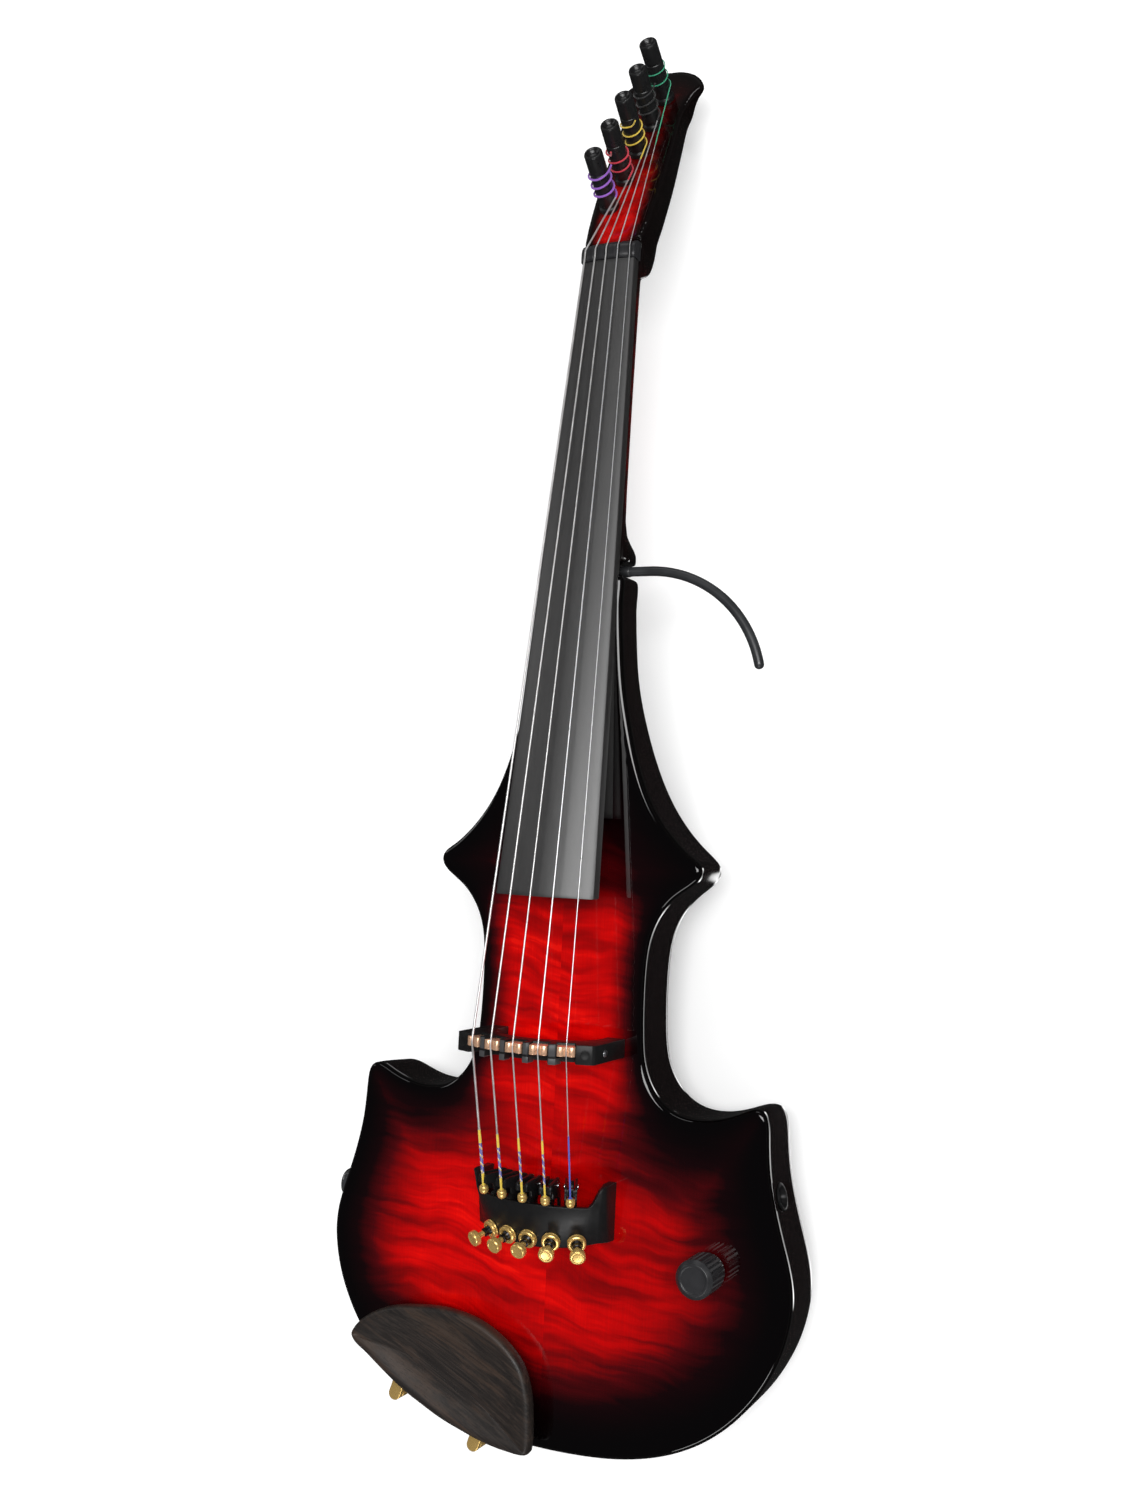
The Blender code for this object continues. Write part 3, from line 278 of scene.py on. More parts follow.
def mat_chin():
    """Ebony with brown streaks that run across the plate, waxed and open-pored."""
    m = Mat("chinrest_streaked_ebony", rough=0.42, Specular_IOR_Level=0.4)
    p = m.pl()
    n = m.node("ShaderNodeMapping", vector_type="POINT")
    m.put(n.inputs["Vector"], p)
    n.inputs["Rotation"].default_value = (0, 0, math.radians(24))
    x, y, z = m.split(n.outputs[0])
    wide = m.noise(m.join(m.math("MULTIPLY", x, 0.020), m.math("MULTIPLY", y, 0.16), m.math("MULTIPLY", z, 0.1)), 1.0, 4, 0.62, 0.5)
    thin = m.noise(m.join(m.math("MULTIPLY", x, 0.05), m.math("MULTIPLY", y, 1.5), m.math("MULTIPLY", z, 1.0)), 1.0, 3, 0.6, 0.2)
    flecks = m.noise(m.join(m.math("MULTIPLY", x, 0.30), m.math("MULTIPLY", y, 3.6), m.math("MULTIPLY", z, 2.0)), 1.0, 2, 0.5)
    col = m.ramp(wide, [(0.32, (0.010, 0.0085, 0.008)), (0.50, (0.016, 0.0125, 0.011)), (0.62, (0.042, 0.026, 0.018)), (0.72, (0.018, 0.014, 0.012))])
    col = m.mix(m.grey(thin, 0.0, 0.55, 0.46, 0.72), col, (0.046, 0.032, 0.024))
    col = m.mix(m.grey(flecks, 0.0, 0.75, 0.60, 0.70), col, (0.008, 0.007, 0.007))
    m.set(Base_Color=col, Roughness=m.grey(thin, 0.36, 0.52, 0.3, 0.7))
    m.set(Normal=m.bump(m.math("ADD", thin, m.grey(flecks, 0.0, -1.0, 0.6, 0.7)), 0.28, 0.00008))
    return m.m


def mat_metal(name, colour, rough=0.25, metal=1.0, vary=0.08, scale=0.6, bump=0.03, tint=0.9, **kw):
    m = Mat(name, rough=rough, metal=metal, colour=colour, **kw)
    n1, n2 = m.noise(m.pl(), scale, 4, 0.6), m.noise(m.pl(), scale * 6, 2, 0.5)
    m.set(
        Base_Color=m.ramp(n1, [(0.3, tuple(c * tint for c in colour)), (0.7, colour)]),
        Roughness=m.grey(n1, max(rough - vary, 0.02), rough + vary, 0.3, 0.7),
        Normal=m.bump(n2, bump, 0.00004),
    )
    return m.m


def mat_wound(name, colour, rough=0.28):
    """Flat winding: close rings along the string."""
    m = Mat(name, rough=rough, metal=0.8, colour=colour)
    x, y, z = m.split(m.pl())
    rings = m.math("SINE", m.math("MULTIPLY", y, 2 * math.pi / 0.3))
    dirt = m.noise(m.pl(), 0.15, 3)
    m.set(Base_Color=m.ramp(dirt, [(0.3, tuple(c * 0.82 for c in colour)), (0.7, colour)]), Roughness=m.grey(dirt, rough - 0.06, rough + 0.08, 0.3, 0.7), Normal=m.bump(rings, 0.10, 0.00002))
    return m.m


def mat_silk(name, colour, second=None, third=None, turns=0.30):
    """Thread winding; with more colours, they run in a spiral."""
    m = Mat(name, rough=0.55, colour=colour, Sheen_Weight=0.4, Sheen_Roughness=0.4)
    x, y, z = m.split(m.pl())
    strands = m.noise(m.join(m.math("MULTIPLY", x, 3.0), m.math("MULTIPLY", y, 9.0), m.math("MULTIPLY", z, 3.0)), 1.0, 2)
    col = m.ramp(strands, [(0.35, tuple(c * 0.6 for c in colour)), (0.65, colour)])
    if second:
        s = m.math("FRACT", m.math("ADD", m.math("MULTIPLY", y, turns), m.math("MULTIPLY", m.attr("around"), 1.0)))
        col = m.mix(m.grey(s, 0.0, 1.0, 0.66, 0.69), col, second)
        col = m.mix(m.grey(s, 0.0, 1.0, 0.87, 0.90), col, third)
    m.set(Base_Color=col, Normal=m.bump(strands, 0.5, 0.00008))
    return m.m


def mat_plastic(name, colour, rough=0.42, bump=0.12, scale=2.2, spec=0.5):
    m = Mat(name, rough=rough, colour=colour, Specular_IOR_Level=spec)
    n1, n2 = m.noise(m.pl(), scale, 3, 0.6), m.noise(m.pl(), 0.12, 3, 0.5)
    m.set(
        Base_Color=m.ramp(n2, [(0.3, tuple(c * 0.8 for c in colour)), (0.7, tuple(c * 1.15 for c in colour))]),
        Roughness=m.grey(n2, rough - 0.05, rough + 0.07, 0.3, 0.7),
        Normal=m.bump(n1, bump, 0.00006),
    )
    return m.m


M = {
    "black": mat_black_lacquer(),
    "burst": mat_burst(),
    "neck": mat_neck(),
    "board": mat_ebony("fingerboard_ebony", (0.007, 0.0065, 0.0065), (0.017, 0.0162, 0.016), (0.42, 0.50), 1.0),
    # The riser's ebony is darker than the board's and the nut's: painted shade from the fingerboard above it.
    "riser": mat_ebony("riser_ebony_painted_shade", (0.004, 0.0036, 0.0036), (0.009, 0.008, 0.008), (0.36, 0.46), 0.15),
    "nut": mat_ebony("nut_ebony", (0.008, 0.008, 0.009), (0.020, 0.020, 0.022), (0.30, 0.40), 0.45),
    "chin": mat_chin(),
    "satin": mat_metal("satin_black_metal", (0.008, 0.008, 0.0084), 0.34, 0.0, 0.05, 0.5, 0.02, 0.8, Specular_IOR_Level=0.28),
    "post": mat_metal("post_black", (0.009, 0.009, 0.0094), 0.30, 0.0, 0.04, 0.4, 0.012, 0.85, Specular_IOR_Level=0.5),
    "gold": mat_metal("gold_plate", (0.90, 0.60, 0.20), 0.27, 0.74, 0.02, 0.35, 0.0008, 0.96),
    "copper": mat_metal("copper_saddle", (0.92, 0.56, 0.36), 0.30, 0.68, 0.06, 0.9, 0.01, 0.88),
    "chrome": mat_metal("chrome_plate", (0.74, 0.75, 0.77), 0.10, 1.0, 0.04, 0.5, 0.02, 0.92),
    "steel": mat_metal("plain_steel", (0.42, 0.42, 0.44), 0.33, 1.0, 0.08, 0.8, 0.05, 0.85),
    "dark_steel": mat_metal("black_steel", (0.07, 0.07, 0.075), 0.32, 1.0, 0.07, 0.8, 0.05, 0.8),
    "bridge": mat_plastic("bridge_black", (0.0085, 0.0085, 0.0088), 0.36, 0.04, 2.0, 0.25),
    "spacer": mat_plastic("bridge_spacer", (0.045, 0.045, 0.047), 0.40, 0.06, 2.4, 0.4),
    "knob": mat_plastic("knob_satin", (0.017, 0.017, 0.019), 0.34, 0.05, 2.6, 0.55),
    "cover": mat_plastic("cover_black", (0.014, 0.014, 0.014), 0.42, 0.30, 1.6),
    "pvc": mat_plastic("wire_pvc", (0.016, 0.016, 0.016), 0.45, 0.10, 1.2),
    "rod": mat_plastic("rod_black", (0.022, 0.023, 0.025), 0.33, 0.10, 1.5, 0.6),
    # Painted shade: a matte near-black for the discs, bars and plugs that stand for the shaded inside of holes, slots
    # and eyes.
    "dark": mat_plastic("painted_hole_shade", (0.006, 0.006, 0.006), 0.5, 0.1, 1.0, 0.3),
    "wound": mat_wound("string_wound", (0.86, 0.85, 0.84), 0.36),
    "plain": mat_metal("string_plain", (0.90, 0.90, 0.91), 0.32, 0.8, 0.05, 0.3, 0.01, 0.95),
    "silk_purple": mat_silk("silk_purple", (0.30, 0.10, 0.55)),
    "silk_red": mat_silk("silk_red", (0.62, 0.02, 0.05)),
    "silk_yellow": mat_silk("silk_yellow", (0.78, 0.55, 0.05)),
    "silk_black": mat_silk("silk_black", (0.02, 0.02, 0.02)),
    "silk_green": mat_silk("silk_green", (0.03, 0.42, 0.22)),
    "silk_blue": mat_silk("silk_blue", (0.06, 0.09, 0.50)),
    "silk_spiral": mat_silk("silk_spiral", (0.07, 0.09, 0.42), (0.66, 0.44, 0.06), (0.62, 0.62, 0.64)),
}


# ------------------------------------------------------------------ mesh helpers, in playing millimetres
def add(name, shape, mat, body=ROOT, nodes=(), place=None, angle=35.0, face_mats=None, values=None, bevel=0.0, segments=2, bevel_angle=30.0, subdiv=0, free=False):
    """A piece. place puts a piece drawn about its own axis into playing axes."""
    verts, faces = shape
    me = bpy.data.meshes.new(name)
    v = np.array(verts, float).reshape(-1, 3)
    if place is not None:
        m = np.array(place)
        v = v @ m[:3, :3].T + m[:3, 3]
    me.from_pydata(v.tolist(), [], [list(f) for f in faces])
    mats = mat if isinstance(mat, (list, tuple)) else [mat]
    for k in mats:
        me.materials.append(M[k])
    if face_mats is not None:
        me.polygons.foreach_set("material_index", np.array(face_mats, np.int32))
    for key, data in (values or {}).items():
        a = me.attributes.new(key, "FLOAT", "POINT")
        a.data.foreach_set("value", np.array(data, np.float32))
    bm = bmesh.new()
    bm.from_mesh(me)
    if bevel:
        bmesh.ops.remove_doubles(bm, verts=bm.verts, dist=1e-4)
        bmesh.ops.recalc_face_normals(bm, faces=bm.faces)
        edges = [e for e in bm.edges if len(e.link_faces) == 2 and e.calc_face_angle(0) > math.radians(bevel_angle)]
        bmesh.ops.bevel(bm, geom=edges, offset=bevel, segments=segments, profile=0.5, affect="EDGES", clamp_overlap=True)
    bmesh.ops.recalc_face_normals(bm, faces=bm.faces)
    if bm.calc_volume(signed=True) < 0:
        bmesh.ops.reverse_faces(bm, faces=bm.faces)
    bm.to_mesh(me)
    bm.free()
    co = np.empty(len(me.vertices) * 3, np.float32)
    me.vertices.foreach_get("co", co)
    a = me.attributes.new("pl", "FLOAT_VECTOR", "POINT")
    a.data.foreach_set("vector", co)
    me.transform(REST)
    me.shade_smooth()
    me.set_sharp_from_angle(angle=math.radians(angle))
    ob = bpy.data.objects.new(name, me)
    bpy.context.scene.collection.objects.link(ob)
    if subdiv:
        s = ob.modifiers.new("fine", "SUBSURF")
        s.levels = s.render_levels = subdiv
    if not free:
        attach(ob, body)
    if nodes:
        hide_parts(*nodes)
    return ob


def axes(origin, z, x=(1, 0, 0)):
    z = Vector(z).normalized()
    y = z.cross(Vector(x)).normalized()
    x = y.cross(z)
    m = Matrix((x, y, z)).transposed().to_4x4()
    m.translation = Vector(origin)
    return m


def loft(rings, closed=False, caps=True):
    n, k = len(rings[0]), len(rings)
    verts = [p for r in rings for p in r]
    faces = []
    for a in range(k if closed else k - 1):
        b = (a + 1) % k
        for i in range(n):
            j = (i + 1) % n
            faces.append((a * n + i, a * n + j, b * n + j, b * n + i))
    if caps and not closed:
        faces.append(tuple(reversed(range(n))))
        faces.append(tuple((k - 1) * n + i for i in range(n)))
    return verts, faces


def prism(points, z0, z1):
    return loft([[(x, y, z0) for x, y in points], [(x, y, z1) for x, y in points]])


def across_y(points, y0, y1):
    return loft([[(x, y0, z) for x, z in points], [(x, y1, z) for x, z in points]])


def box(x0, x1, y0, y1, z0, z1):
    return prism([(x0, y0), (x1, y0), (x1, y1), (x0, y1)], z0, z1)


def merged(*shapes):
    verts, faces = [], []
    for v, f in shapes:
        faces += [tuple(i + len(verts) for i in face) for face in f]
        verts += list(v)
    return verts, faces


def moved(shape, m):
    return [tuple(m @ Vector(v)) for v in shape[0]], shape[1]


def turned(profile, sides=48, wave=None):
    """Lathe about Z. wave(angle, r, z) may change a radius."""
    on_axis = profile[0][0] == 0
    verts, faces, rows = [], [], []
    for r, z in profile:
        if r == 0:
            rows.append([len(verts)])
            verts.append((0, 0, z))
        else:
            rows.append([len(verts) + k for k in range(sides)])
            for k in range(sides):
                a = 2 * math.pi * k / sides
                rr = wave(a, r, z) if wave else r
                verts.append((rr * math.cos(a), rr * math.sin(a), z))
    pairs = list(zip(rows, rows[1:])) + ([] if on_axis else [(rows[-1], rows[0])])
    for a, b in pairs:
        for k in range(sides):
            q = [a[k % len(a)], a[(k + 1) % len(a)], b[(k + 1) % len(b)], b[k % len(b)]]
            q = [v for i, v in enumerate(q) if v not in q[:i]]
            if len(q) > 2:
                faces.append(tuple(q))
    return verts, faces


def rounded_profile(points, r, steps=4):
    """A lathe profile with its corners off the axis rounded by r."""
    out = []
    for i, p in enumerate(points):
        if i in (0, len(points) - 1):
            out.append(p)
            continue
        a, b, c = Vector(points[i - 1]), Vector(p), Vector(points[i + 1])
        d1, d2 = (a - b), (c - b)
        k = min(r, d1.length * 0.45, d2.length * 0.45)
        p0, p1 = b + d1.normalized() * k, b + d2.normalized() * k
        for s in range(steps + 1):
            t = s / steps
            q = p0 * (1 - t) ** 2 + b * 2 * t * (1 - t) + p1 * t**2
            out.append((max(q.x, 0.0), q.y))
    return out


def tube_data(path, radii, sides=12):
    path = [Vector(p) for p in path]
    radii = radii if isinstance(radii, (list, tuple)) else [radii] * len(path)
    side = (path[1] - path[0]).orthogonal().normalized()
    rings = []
    for i, (p, r) in enumerate(zip(path, radii)):
        a, b = path[max(i - 1, 0)], path[min(i + 1, len(path) - 1)]
        t = (b - a).normalized()
        side = (side - t * side.dot(t)).normalized()
        up = t.cross(side)
        rings.append([tuple(p + (side * math.cos(2 * math.pi * k / sides) + up * math.sin(2 * math.pi * k / sides)) * r) for k in range(sides)])
    return loft(rings)


def smoothstep(t):
    t = min(max(t, 0.0), 1.0)
    return t * t * (3 - 2 * t)


def smooth_closed(points, per_span):
    p = np.array(points, float)
    n = len(p)
    out = []
    for i in range(n):
        p0, p1, p2, p3 = p[i - 1], p[i], p[(i + 1) % n], p[(i + 2) % n]
        d1 = max(np.linalg.norm(p1 - p0), 1e-6) ** 0.5
        d2 = max(np.linalg.norm(p2 - p1), 1e-6) ** 0.5
        d3 = max(np.linalg.norm(p3 - p2), 1e-6) ** 0.5
        m1 = ((p1 - p0) / d1 - (p2 - p0) / (d1 + d2) + (p2 - p1) / d2) * d2
        m2 = ((p2 - p1) / d2 - (p3 - p1) / (d2 + d3) + (p3 - p2) / d3) * d2
        for k in range(per_span):
            t = k / per_span
            h = (2 * t**3 - 3 * t**2 + 1, t**3 - 2 * t**2 + t, -2 * t**3 + 3 * t**2, t**3 - t**2)
            out.append(h[0] * p1 + h[1] * m1 + h[2] * p2 + h[3] * m2)
    return np.array(out)


def outward(points):
    t = np.roll(points, -1, 0) - np.roll(points, 1, 0)
    n = np.stack([-t[:, 1], t[:, 0]], 1)
    return n / np.linalg.norm(n, axis=1, keepdims=True)


def even(points, step):
    """The closed outline again, with points an even step apart."""
    p = np.vstack([points, points[:1]])
    s = np.concatenate([[0], np.cumsum(np.linalg.norm(np.diff(p, axis=0), axis=1))])
    n = int(s[-1] / step)
    t = np.linspace(0, s[-1], n, endpoint=False)
    return np.stack([np.interp(t, s, p[:, 0]), np.interp(t, s, p[:, 1])], 1)


def inset_depth(points, depth):
    n = outward(points)
    side = np.roll(points, -1, 0) - points
    d = np.full(len(points), float(depth))
    for _ in range(120):
        q = points - n * d[:, None]
        kept = ((np.roll(q, -1, 0) - q) * side).sum(1) / (side**2).sum(1)
        short = kept < 0.30
        if not short.any():
            break
        d[short | np.roll(short, 1)] *= 0.9
    for _ in range(30):
        d = np.minimum(d, (np.roll(d, 1) + np.roll(d, -1)) / 2 + 0.02 * depth)
    return d


# ------------------------------------------------------------------ body
NECK_END = [(0, 188.2), (9, 188.2), (16.9, 188.2), (18.6, 187.2)]
SHOULDER = [(18.8, 175), (19.8, 160), (21.6, 143), (24.4, 128.5), (28.6, 112.5), (34.0, 98.5), (41.0, 87.2), (49.3, 78.2)]
UPPER_HORN = [(54.4, 74.2), (57.6, 72.3), (59.2, 69.0), (57.6, 65.4), (53.6, 62.2)]
WAIST = [(47.2, 57.6), (41.4, 50.4), (37.8, 41.5), (36.4, 31.0), (36.1, 18.0), (36.5, 4.0), (37.6, -7.0), (40.6, -15.6), (45.6, -22.0), (52.2, -25.9), (59.6, -27.1), (67.4, -26.4), (74.6, -24.3)]
LOWER_HORN = [(80.6, -21.6), (84.0, -19.9), (86.9, -19.7), (89.0, -21.8), (89.9, -26.0)]
LOWER_BOUT = [(90.3, -34), (91.2, -44), (93.4, -55), (96.6, -66.5), (99.7, -76.5), (101.6, -85), (101.9, -93), (100.7, -101.5), (98.2, -110.5), (94.2, -119.5), (88.4, -129), (80.4, -138.5), (70.4, -147), (58.8, -153.8), (45.6, -158.8), (31.0, -162.0), (15.6, -163.6), (0, -164.1)]
HALF = NECK_END + SHOULDER + UPPER_HORN + WAIST + LOWER_HORN + LOWER_BOUT
def softened(points, sigma, step=1.1):
    """The closed outline with its tips rounded: a running mean along it."""
    k = np.arange(-int(4 * sigma / step) - 1, int(4 * sigma / step) + 2)
    w = np.exp(-0.5 * (k * step / sigma) ** 2)
    w /= w.sum()
    return sum(np.roll(points, -int(j), 0) * wj for j, wj in zip(k, w))


SHARP = even(smooth_closed(HALF + [(-x, y) for x, y in reversed(HALF[1:-1])], 10), 1.1)
ROUNDED = (1 - np.clip((SHARP[:, 1:] - 160) / 14, 0, 1)) * 1.0  # all but the square end under the neck
OUTLINE = SHARP + (softened(SHARP, 2.3) - SHARP) * ROUNDED
NORMALS = outward(OUTLINE)
SOFT = OUTLINE + (softened(OUTLINE, 4.4) - OUTLINE) * ROUNDED


def back_z(y):
    return -BODY_THICK + (BODY_THICK - HEEL_THICK) * smoothstep((y - 75) / 80)


def triangulated(points, z_of, spacing, first, inner_gap=1.2):
    """Faces and inner points that close an outline, fine enough to carry colour."""
    poly = np.array(points)
    lo_, hi_ = poly.min(0), poly.max(0)
    gx = np.arange(lo_[0], hi_[0], spacing)
    gy = np.arange(lo_[1], hi_[1], spacing * 0.87)
    inner = np.array([(x + (spacing / 2 if j % 2 else 0), y) for j, y in enumerate(gy) for x in gx])
    a, b = poly, np.roll(poly, -1, 0)
    inside = np.zeros(len(inner), bool)
    for p, q in zip(a, b):
        hit = (p[1] > inner[:, 1]) != (q[1] > inner[:, 1])
        with np.errstate(divide="ignore", invalid="ignore"):
            xs = (q[0] - p[0]) * (inner[:, 1] - p[1]) / (q[1] - p[1] + 1e-12) + p[0]
        inside ^= hit & (inner[:, 0] < xs)
    inner = inner[inside]
    near = np.array([np.min(((poly - p) ** 2).sum(1)) for p in inner])
    inner = inner[near > inner_gap**2]
    everything = [Vector(p) for p in poly] + [Vector(p) for p in inner]
    n = len(poly)
    v, e, f, ov, *_ = delaunay_2d_cdt(everything, [], [list(range(n))], 1, 1e-6)
    extra = [(float(v[i].x), float(v[i].y), z_of(v[i].y)) for i in range(n, len(v))]
    index = list(range(first, first + n)) + [None] * len(extra)
    return extra, f, n


def body_mesh(levels, spacing):
    rings, flats = [], []
    for depth, z, *soft in levels:
        base = OUTLINE + (SOFT - OUTLINE) * soft[0] if soft else OUTLINE
        p = base - outward(base) * inset_depth(base, depth)[:, None] if depth else base
        flats.append(p)
        rings.append([(x, y, z(y) if callable(z) else z) for x, y in p])
    verts, faces = loft(rings, caps=False)
    n = len(OUTLINE)
    for which, first in ((0, 0), (-1, (len(levels) - 1) * n)):
        z = levels[which][1]
        zf = z if callable(z) else (lambda y, z=z: z)
        extra, tri, m = triangulated(flats[which], zf, spacing[which], first)
        base = len(verts)
        verts += extra
        faces += [tuple(first + i if i < m else base + i - m for i in t) for t in tri]
    return verts, faces


def side_level(share, taper):
    top = -BODY_TOP - 0.05
    return (BACK_TAPER * taper, lambda y: top + (back_z(y) - top) * share, smoothstep(share * 1.1))


levels = [(0.35, -BODY_TOP - 0.05), (0.0, -BODY_TOP - 0.4)] + [side_level(s, 0) for s in (0.15, 0.34, WALL_SHARE)]
for k in range(1, 10):
    a = math.radians(90 * k / 9)
    levels.append(side_level(WALL_SHARE + (1 - WALL_SHARE) * math.sin(a), 1 - math.cos(a)))
core_shape = body_mesh(levels, (30.0, 9.0))
top_levels = [(0.25, -BODY_TOP), (0.0, -BODY_TOP + 0.3)]
for k in range(0, 9):
    a = math.radians(90 * k / 8)
    top_levels.append((1.9 * (1 - math.cos(a)), -1.9 + 1.9 * math.sin(a)))
top_shape = body_mesh(top_levels, (40.0, 2.6))


def outline_distance(xy):
    a, b = OUTLINE, np.roll(OUTLINE, -1, 0)
    ab = b - a
    out = np.empty(len(xy))
    for s in range(0, len(xy), 2000):
        p = xy[s : s + 2000, None, :]
        t = np.clip(((p - a) * ab).sum(2) / (ab**2).sum(1), 0, 1)
        out[s : s + 2000] = np.sqrt((((a + ab * t[..., None]) - p) ** 2).sum(2)).min(1)
    return out


def ss(t):
    t = np.clip(t, 0, 1)
    return t * t * (3 - 2 * t)


def top_burst(verts):
    v = np.array(verts, float)
    d = outline_distance(v[:, :2])
    y = v[:, 1]
    low = ss((-16 - y) / 30)
    high = ss((y - 44) / 22)
    right = ss((v[:, 0] + 5) / 55)
    d0 = 0.5 + (2.5 + 4.0 * right) * low + 2.0 * high
    d1 = 15.0 + (27.0 + 1.0 * right) * low + 16.0 * high
    t = np.clip((d - d0) / (d1 - d0), 0, 1)
    t = t * (0.35 + 0.65 * t) * 0.5 + 0.5 * ss(t)
    t *= 1 - 0.70 * ss((y - 42) / 24)
    t *= 1 - 0.92 * ss((y - 72) / 46)
    t *= 1 - 0.76 * ss((-100 - y) / 62)
    t *= 1 - 0.42 * ss((v[:, 0] - 4) / 72) * low
    t[v[:, 2] < -0.9] *= 0.0
    return t


core = add("body_core_fine", core_shape, "black", nodes=["body_core"], angle=40)
top = add("top_plate_fine", top_shape, "burst", nodes=["top_plate"], angle=40, values={"burst": top_burst(top_shape[0])})


def apply_boolean(ob, cutter_shape, place=None):
    c = add("cutter", cutter_shape, "dark", place=place, free=True)
    m = ob.modifiers.new("cut", "BOOLEAN")
    m.object, m.operation, m.solver = c, "DIFFERENCE", "EXACT"
    graph = bpy.context.evaluated_depsgraph_get()
    me = bpy.data.meshes.new_from_object(ob.evaluated_get(graph))
    old = ob.data
    ob.modifiers.clear()
    ob.data = me
    bpy.data.objects.remove(c)
    bpy.data.meshes.remove(old)


def rounded(cx, cy, w, h, r, steps=8):
    pts = []
    for sx, sy, a0 in ((1, 1, 0), (-1, 1, 90), (-1, -1, 180), (1, -1, 270)):
        for k in range(steps + 1):
            a = math.radians(a0 + 90 * k / steps)
            pts.append((cx + sx * (w / 2 - r) + r * math.cos(a), cy + sy * (h / 2 - r) + r * math.sin(a)))
    return pts


SOCKET = axes((93.2, -53.5, -11.5), (0.95, 0.26, 0), (0, 0, 1))
JACK = axes((-97.0, JACK_Y, JACK_Z), (-1, 0, 0), (0, 0, 1))
apply_boolean(core, turned([(0, -2.2), (5.0, -2.2), (5.0, 9), (0, 9)], 48), SOCKET)
apply_boolean(core, turned([(0, 0), (6.9, 0), (6.9, 30), (0, 30)], 48), JACK)
apply_boolean(core, prism(rounded(65, -83, 44.6, 58.6, 7), -50, -31.3))

# The socket's lip and its dark bush
add("side_socket_bush", turned(rounded_profile([(3.1, -2.1), (4.9, -2.1), (4.9, -0.4), (5.25, 0.35), (4.3, 0.55), (3.6, -0.6), (3.1, -1.6)], 0.2), 48), "satin", place=SOCKET)
# The floor disc is painted shade: a dark matte disc for the shaded depth of the socket.
add("side_socket_floor_painted_shade", turned([(0, -2.1), (3.4, -2.1), (3.4, -1.7), (0, -1.7)], 48), "dark", place=SOCKET)


# ------------------------------------------------------------------ fingerboard, riser, nut
def board_half(y):
    return BOARD_HALF_NUT + (BOARD_HALF_END - BOARD_HALF_NUT) * (BOARD_NUT - y) / (BOARD_NUT - BOARD_END)


def board_edge(y):
    return BOARD_EDGE_Z + BOARD_SLOPE * (y - BOARD_END)


def board_under(y):
    return board_edge(y) - BOARD_SIDE


def board_ring(y):
    w, e = board_half(y), board_edge(y)
    scoop = 0.35 * math.sin(math.pi * (y - BOARD_END) / (BOARD_NUT - BOARD_END))
    pts = [(w - 0.35, y, board_under(y)), (w, y, board_under(y) + 0.35), (w, y, e - 0.7), (w - 0.12, y, e - 0.32), (w - 0.4, y, e - 0.05)]
    for k in range(1, 32):
        x = (w - 0.4) * (1 - 2 * k / 32)
        pts.append((x, y, e + ((w - 0.4) ** 2 - x * x) / (2 * BOARD_R) - scoop * (1 - (x / w) ** 2)))
    pts += [(-w + 0.4, y, e - 0.05), (-w + 0.12, y, e - 0.32), (-w, y, e - 0.7), (-w, y, board_under(y) + 0.35), (-w + 0.35, y, board_under(y))]
    return pts


def grown(ring, k, y):
    """A ring pulled towards its middle, for a rounded end."""
    c = np.mean(np.array(ring), 0)
    return [((p[0] - c[0]) * k + c[0], y, (p[2] - c[2]) * (1 - (1 - k) * 3.5) + c[2]) for p in ring]


ys = [BOARD_END + 0.35] + list(np.linspace(BOARD_END + 2, BOARD_NUT, 60))
rings = [grown(board_ring(BOARD_END), 0.985, BOARD_END)] + [board_ring(y) for y in ys]
add("fingerboard_fine", loft(rings), "board", nodes=["fingerboard"], angle=30)


def riser_ring(y, z_low):
    w, z = board_half(y) - 0.6, board_under(y) - 0.1
    return [(w, y, z_low), (w, y, z), (-w, y, z), (-w, y, z_low)]


add("board_riser_fine", loft([riser_ring(88.4, 0.1), riser_ring(91, 0.1), riser_ring(170.0, 0.1)]), "riser", nodes=["board_riser"], bevel=0.35)


def arch(x, z, radius):
    return z - x * x / (2 * radius)


def string_x(i, spacing):
    return (i - 2) * spacing


def nut_ring(y, drop):
    w = 12.6
    pts = [(w, y, board_under(BOARD_NUT) - 0.2)]
    for k in range(121):
        x = w - 2 * w * k / 120
        z = arch(x, NUT_Z, NUT_ARCH) - drop + 0.15
        for i in range(5):
            r = STRING_R[i] + 0.12
            dx = x - string_x(i, NUT_SPACING)
            if abs(dx) < r + 0.25:
                z = min(z, arch(x, NUT_Z, NUT_ARCH) - drop + 0.05 - max(0.0, 0.9 - (abs(dx) / (r + 0.25)) ** 3 * 0.9) * 0.75)
        if abs(x) > 12.1:
            z -= (abs(x) - 12.1) ** 2 * 2.2
        pts.append((x, y, z))
    return pts + [(-w, y, board_under(BOARD_NUT) - 0.2)]


add("nut_fine", loft([nut_ring(325.5, 0.55), nut_ring(325.9, 0.2), nut_ring(327.4, 0.1), nut_ring(329.5, 0.15), nut_ring(331.2, 0.6), nut_ring(332.5, 1.6), nut_ring(333.3, 3.0)]), "nut", nodes=["nut"], angle=50)

# ------------------------------------------------------------------ neck and head
SIN, COS = math.sin(HEAD_RAKE), math.cos(HEAD_RAKE)


def on_head(u, v, h=0.0):
    return (u, HEAD_Y + v * COS + h * SIN, HEAD_Z - v * SIN + h * COS)


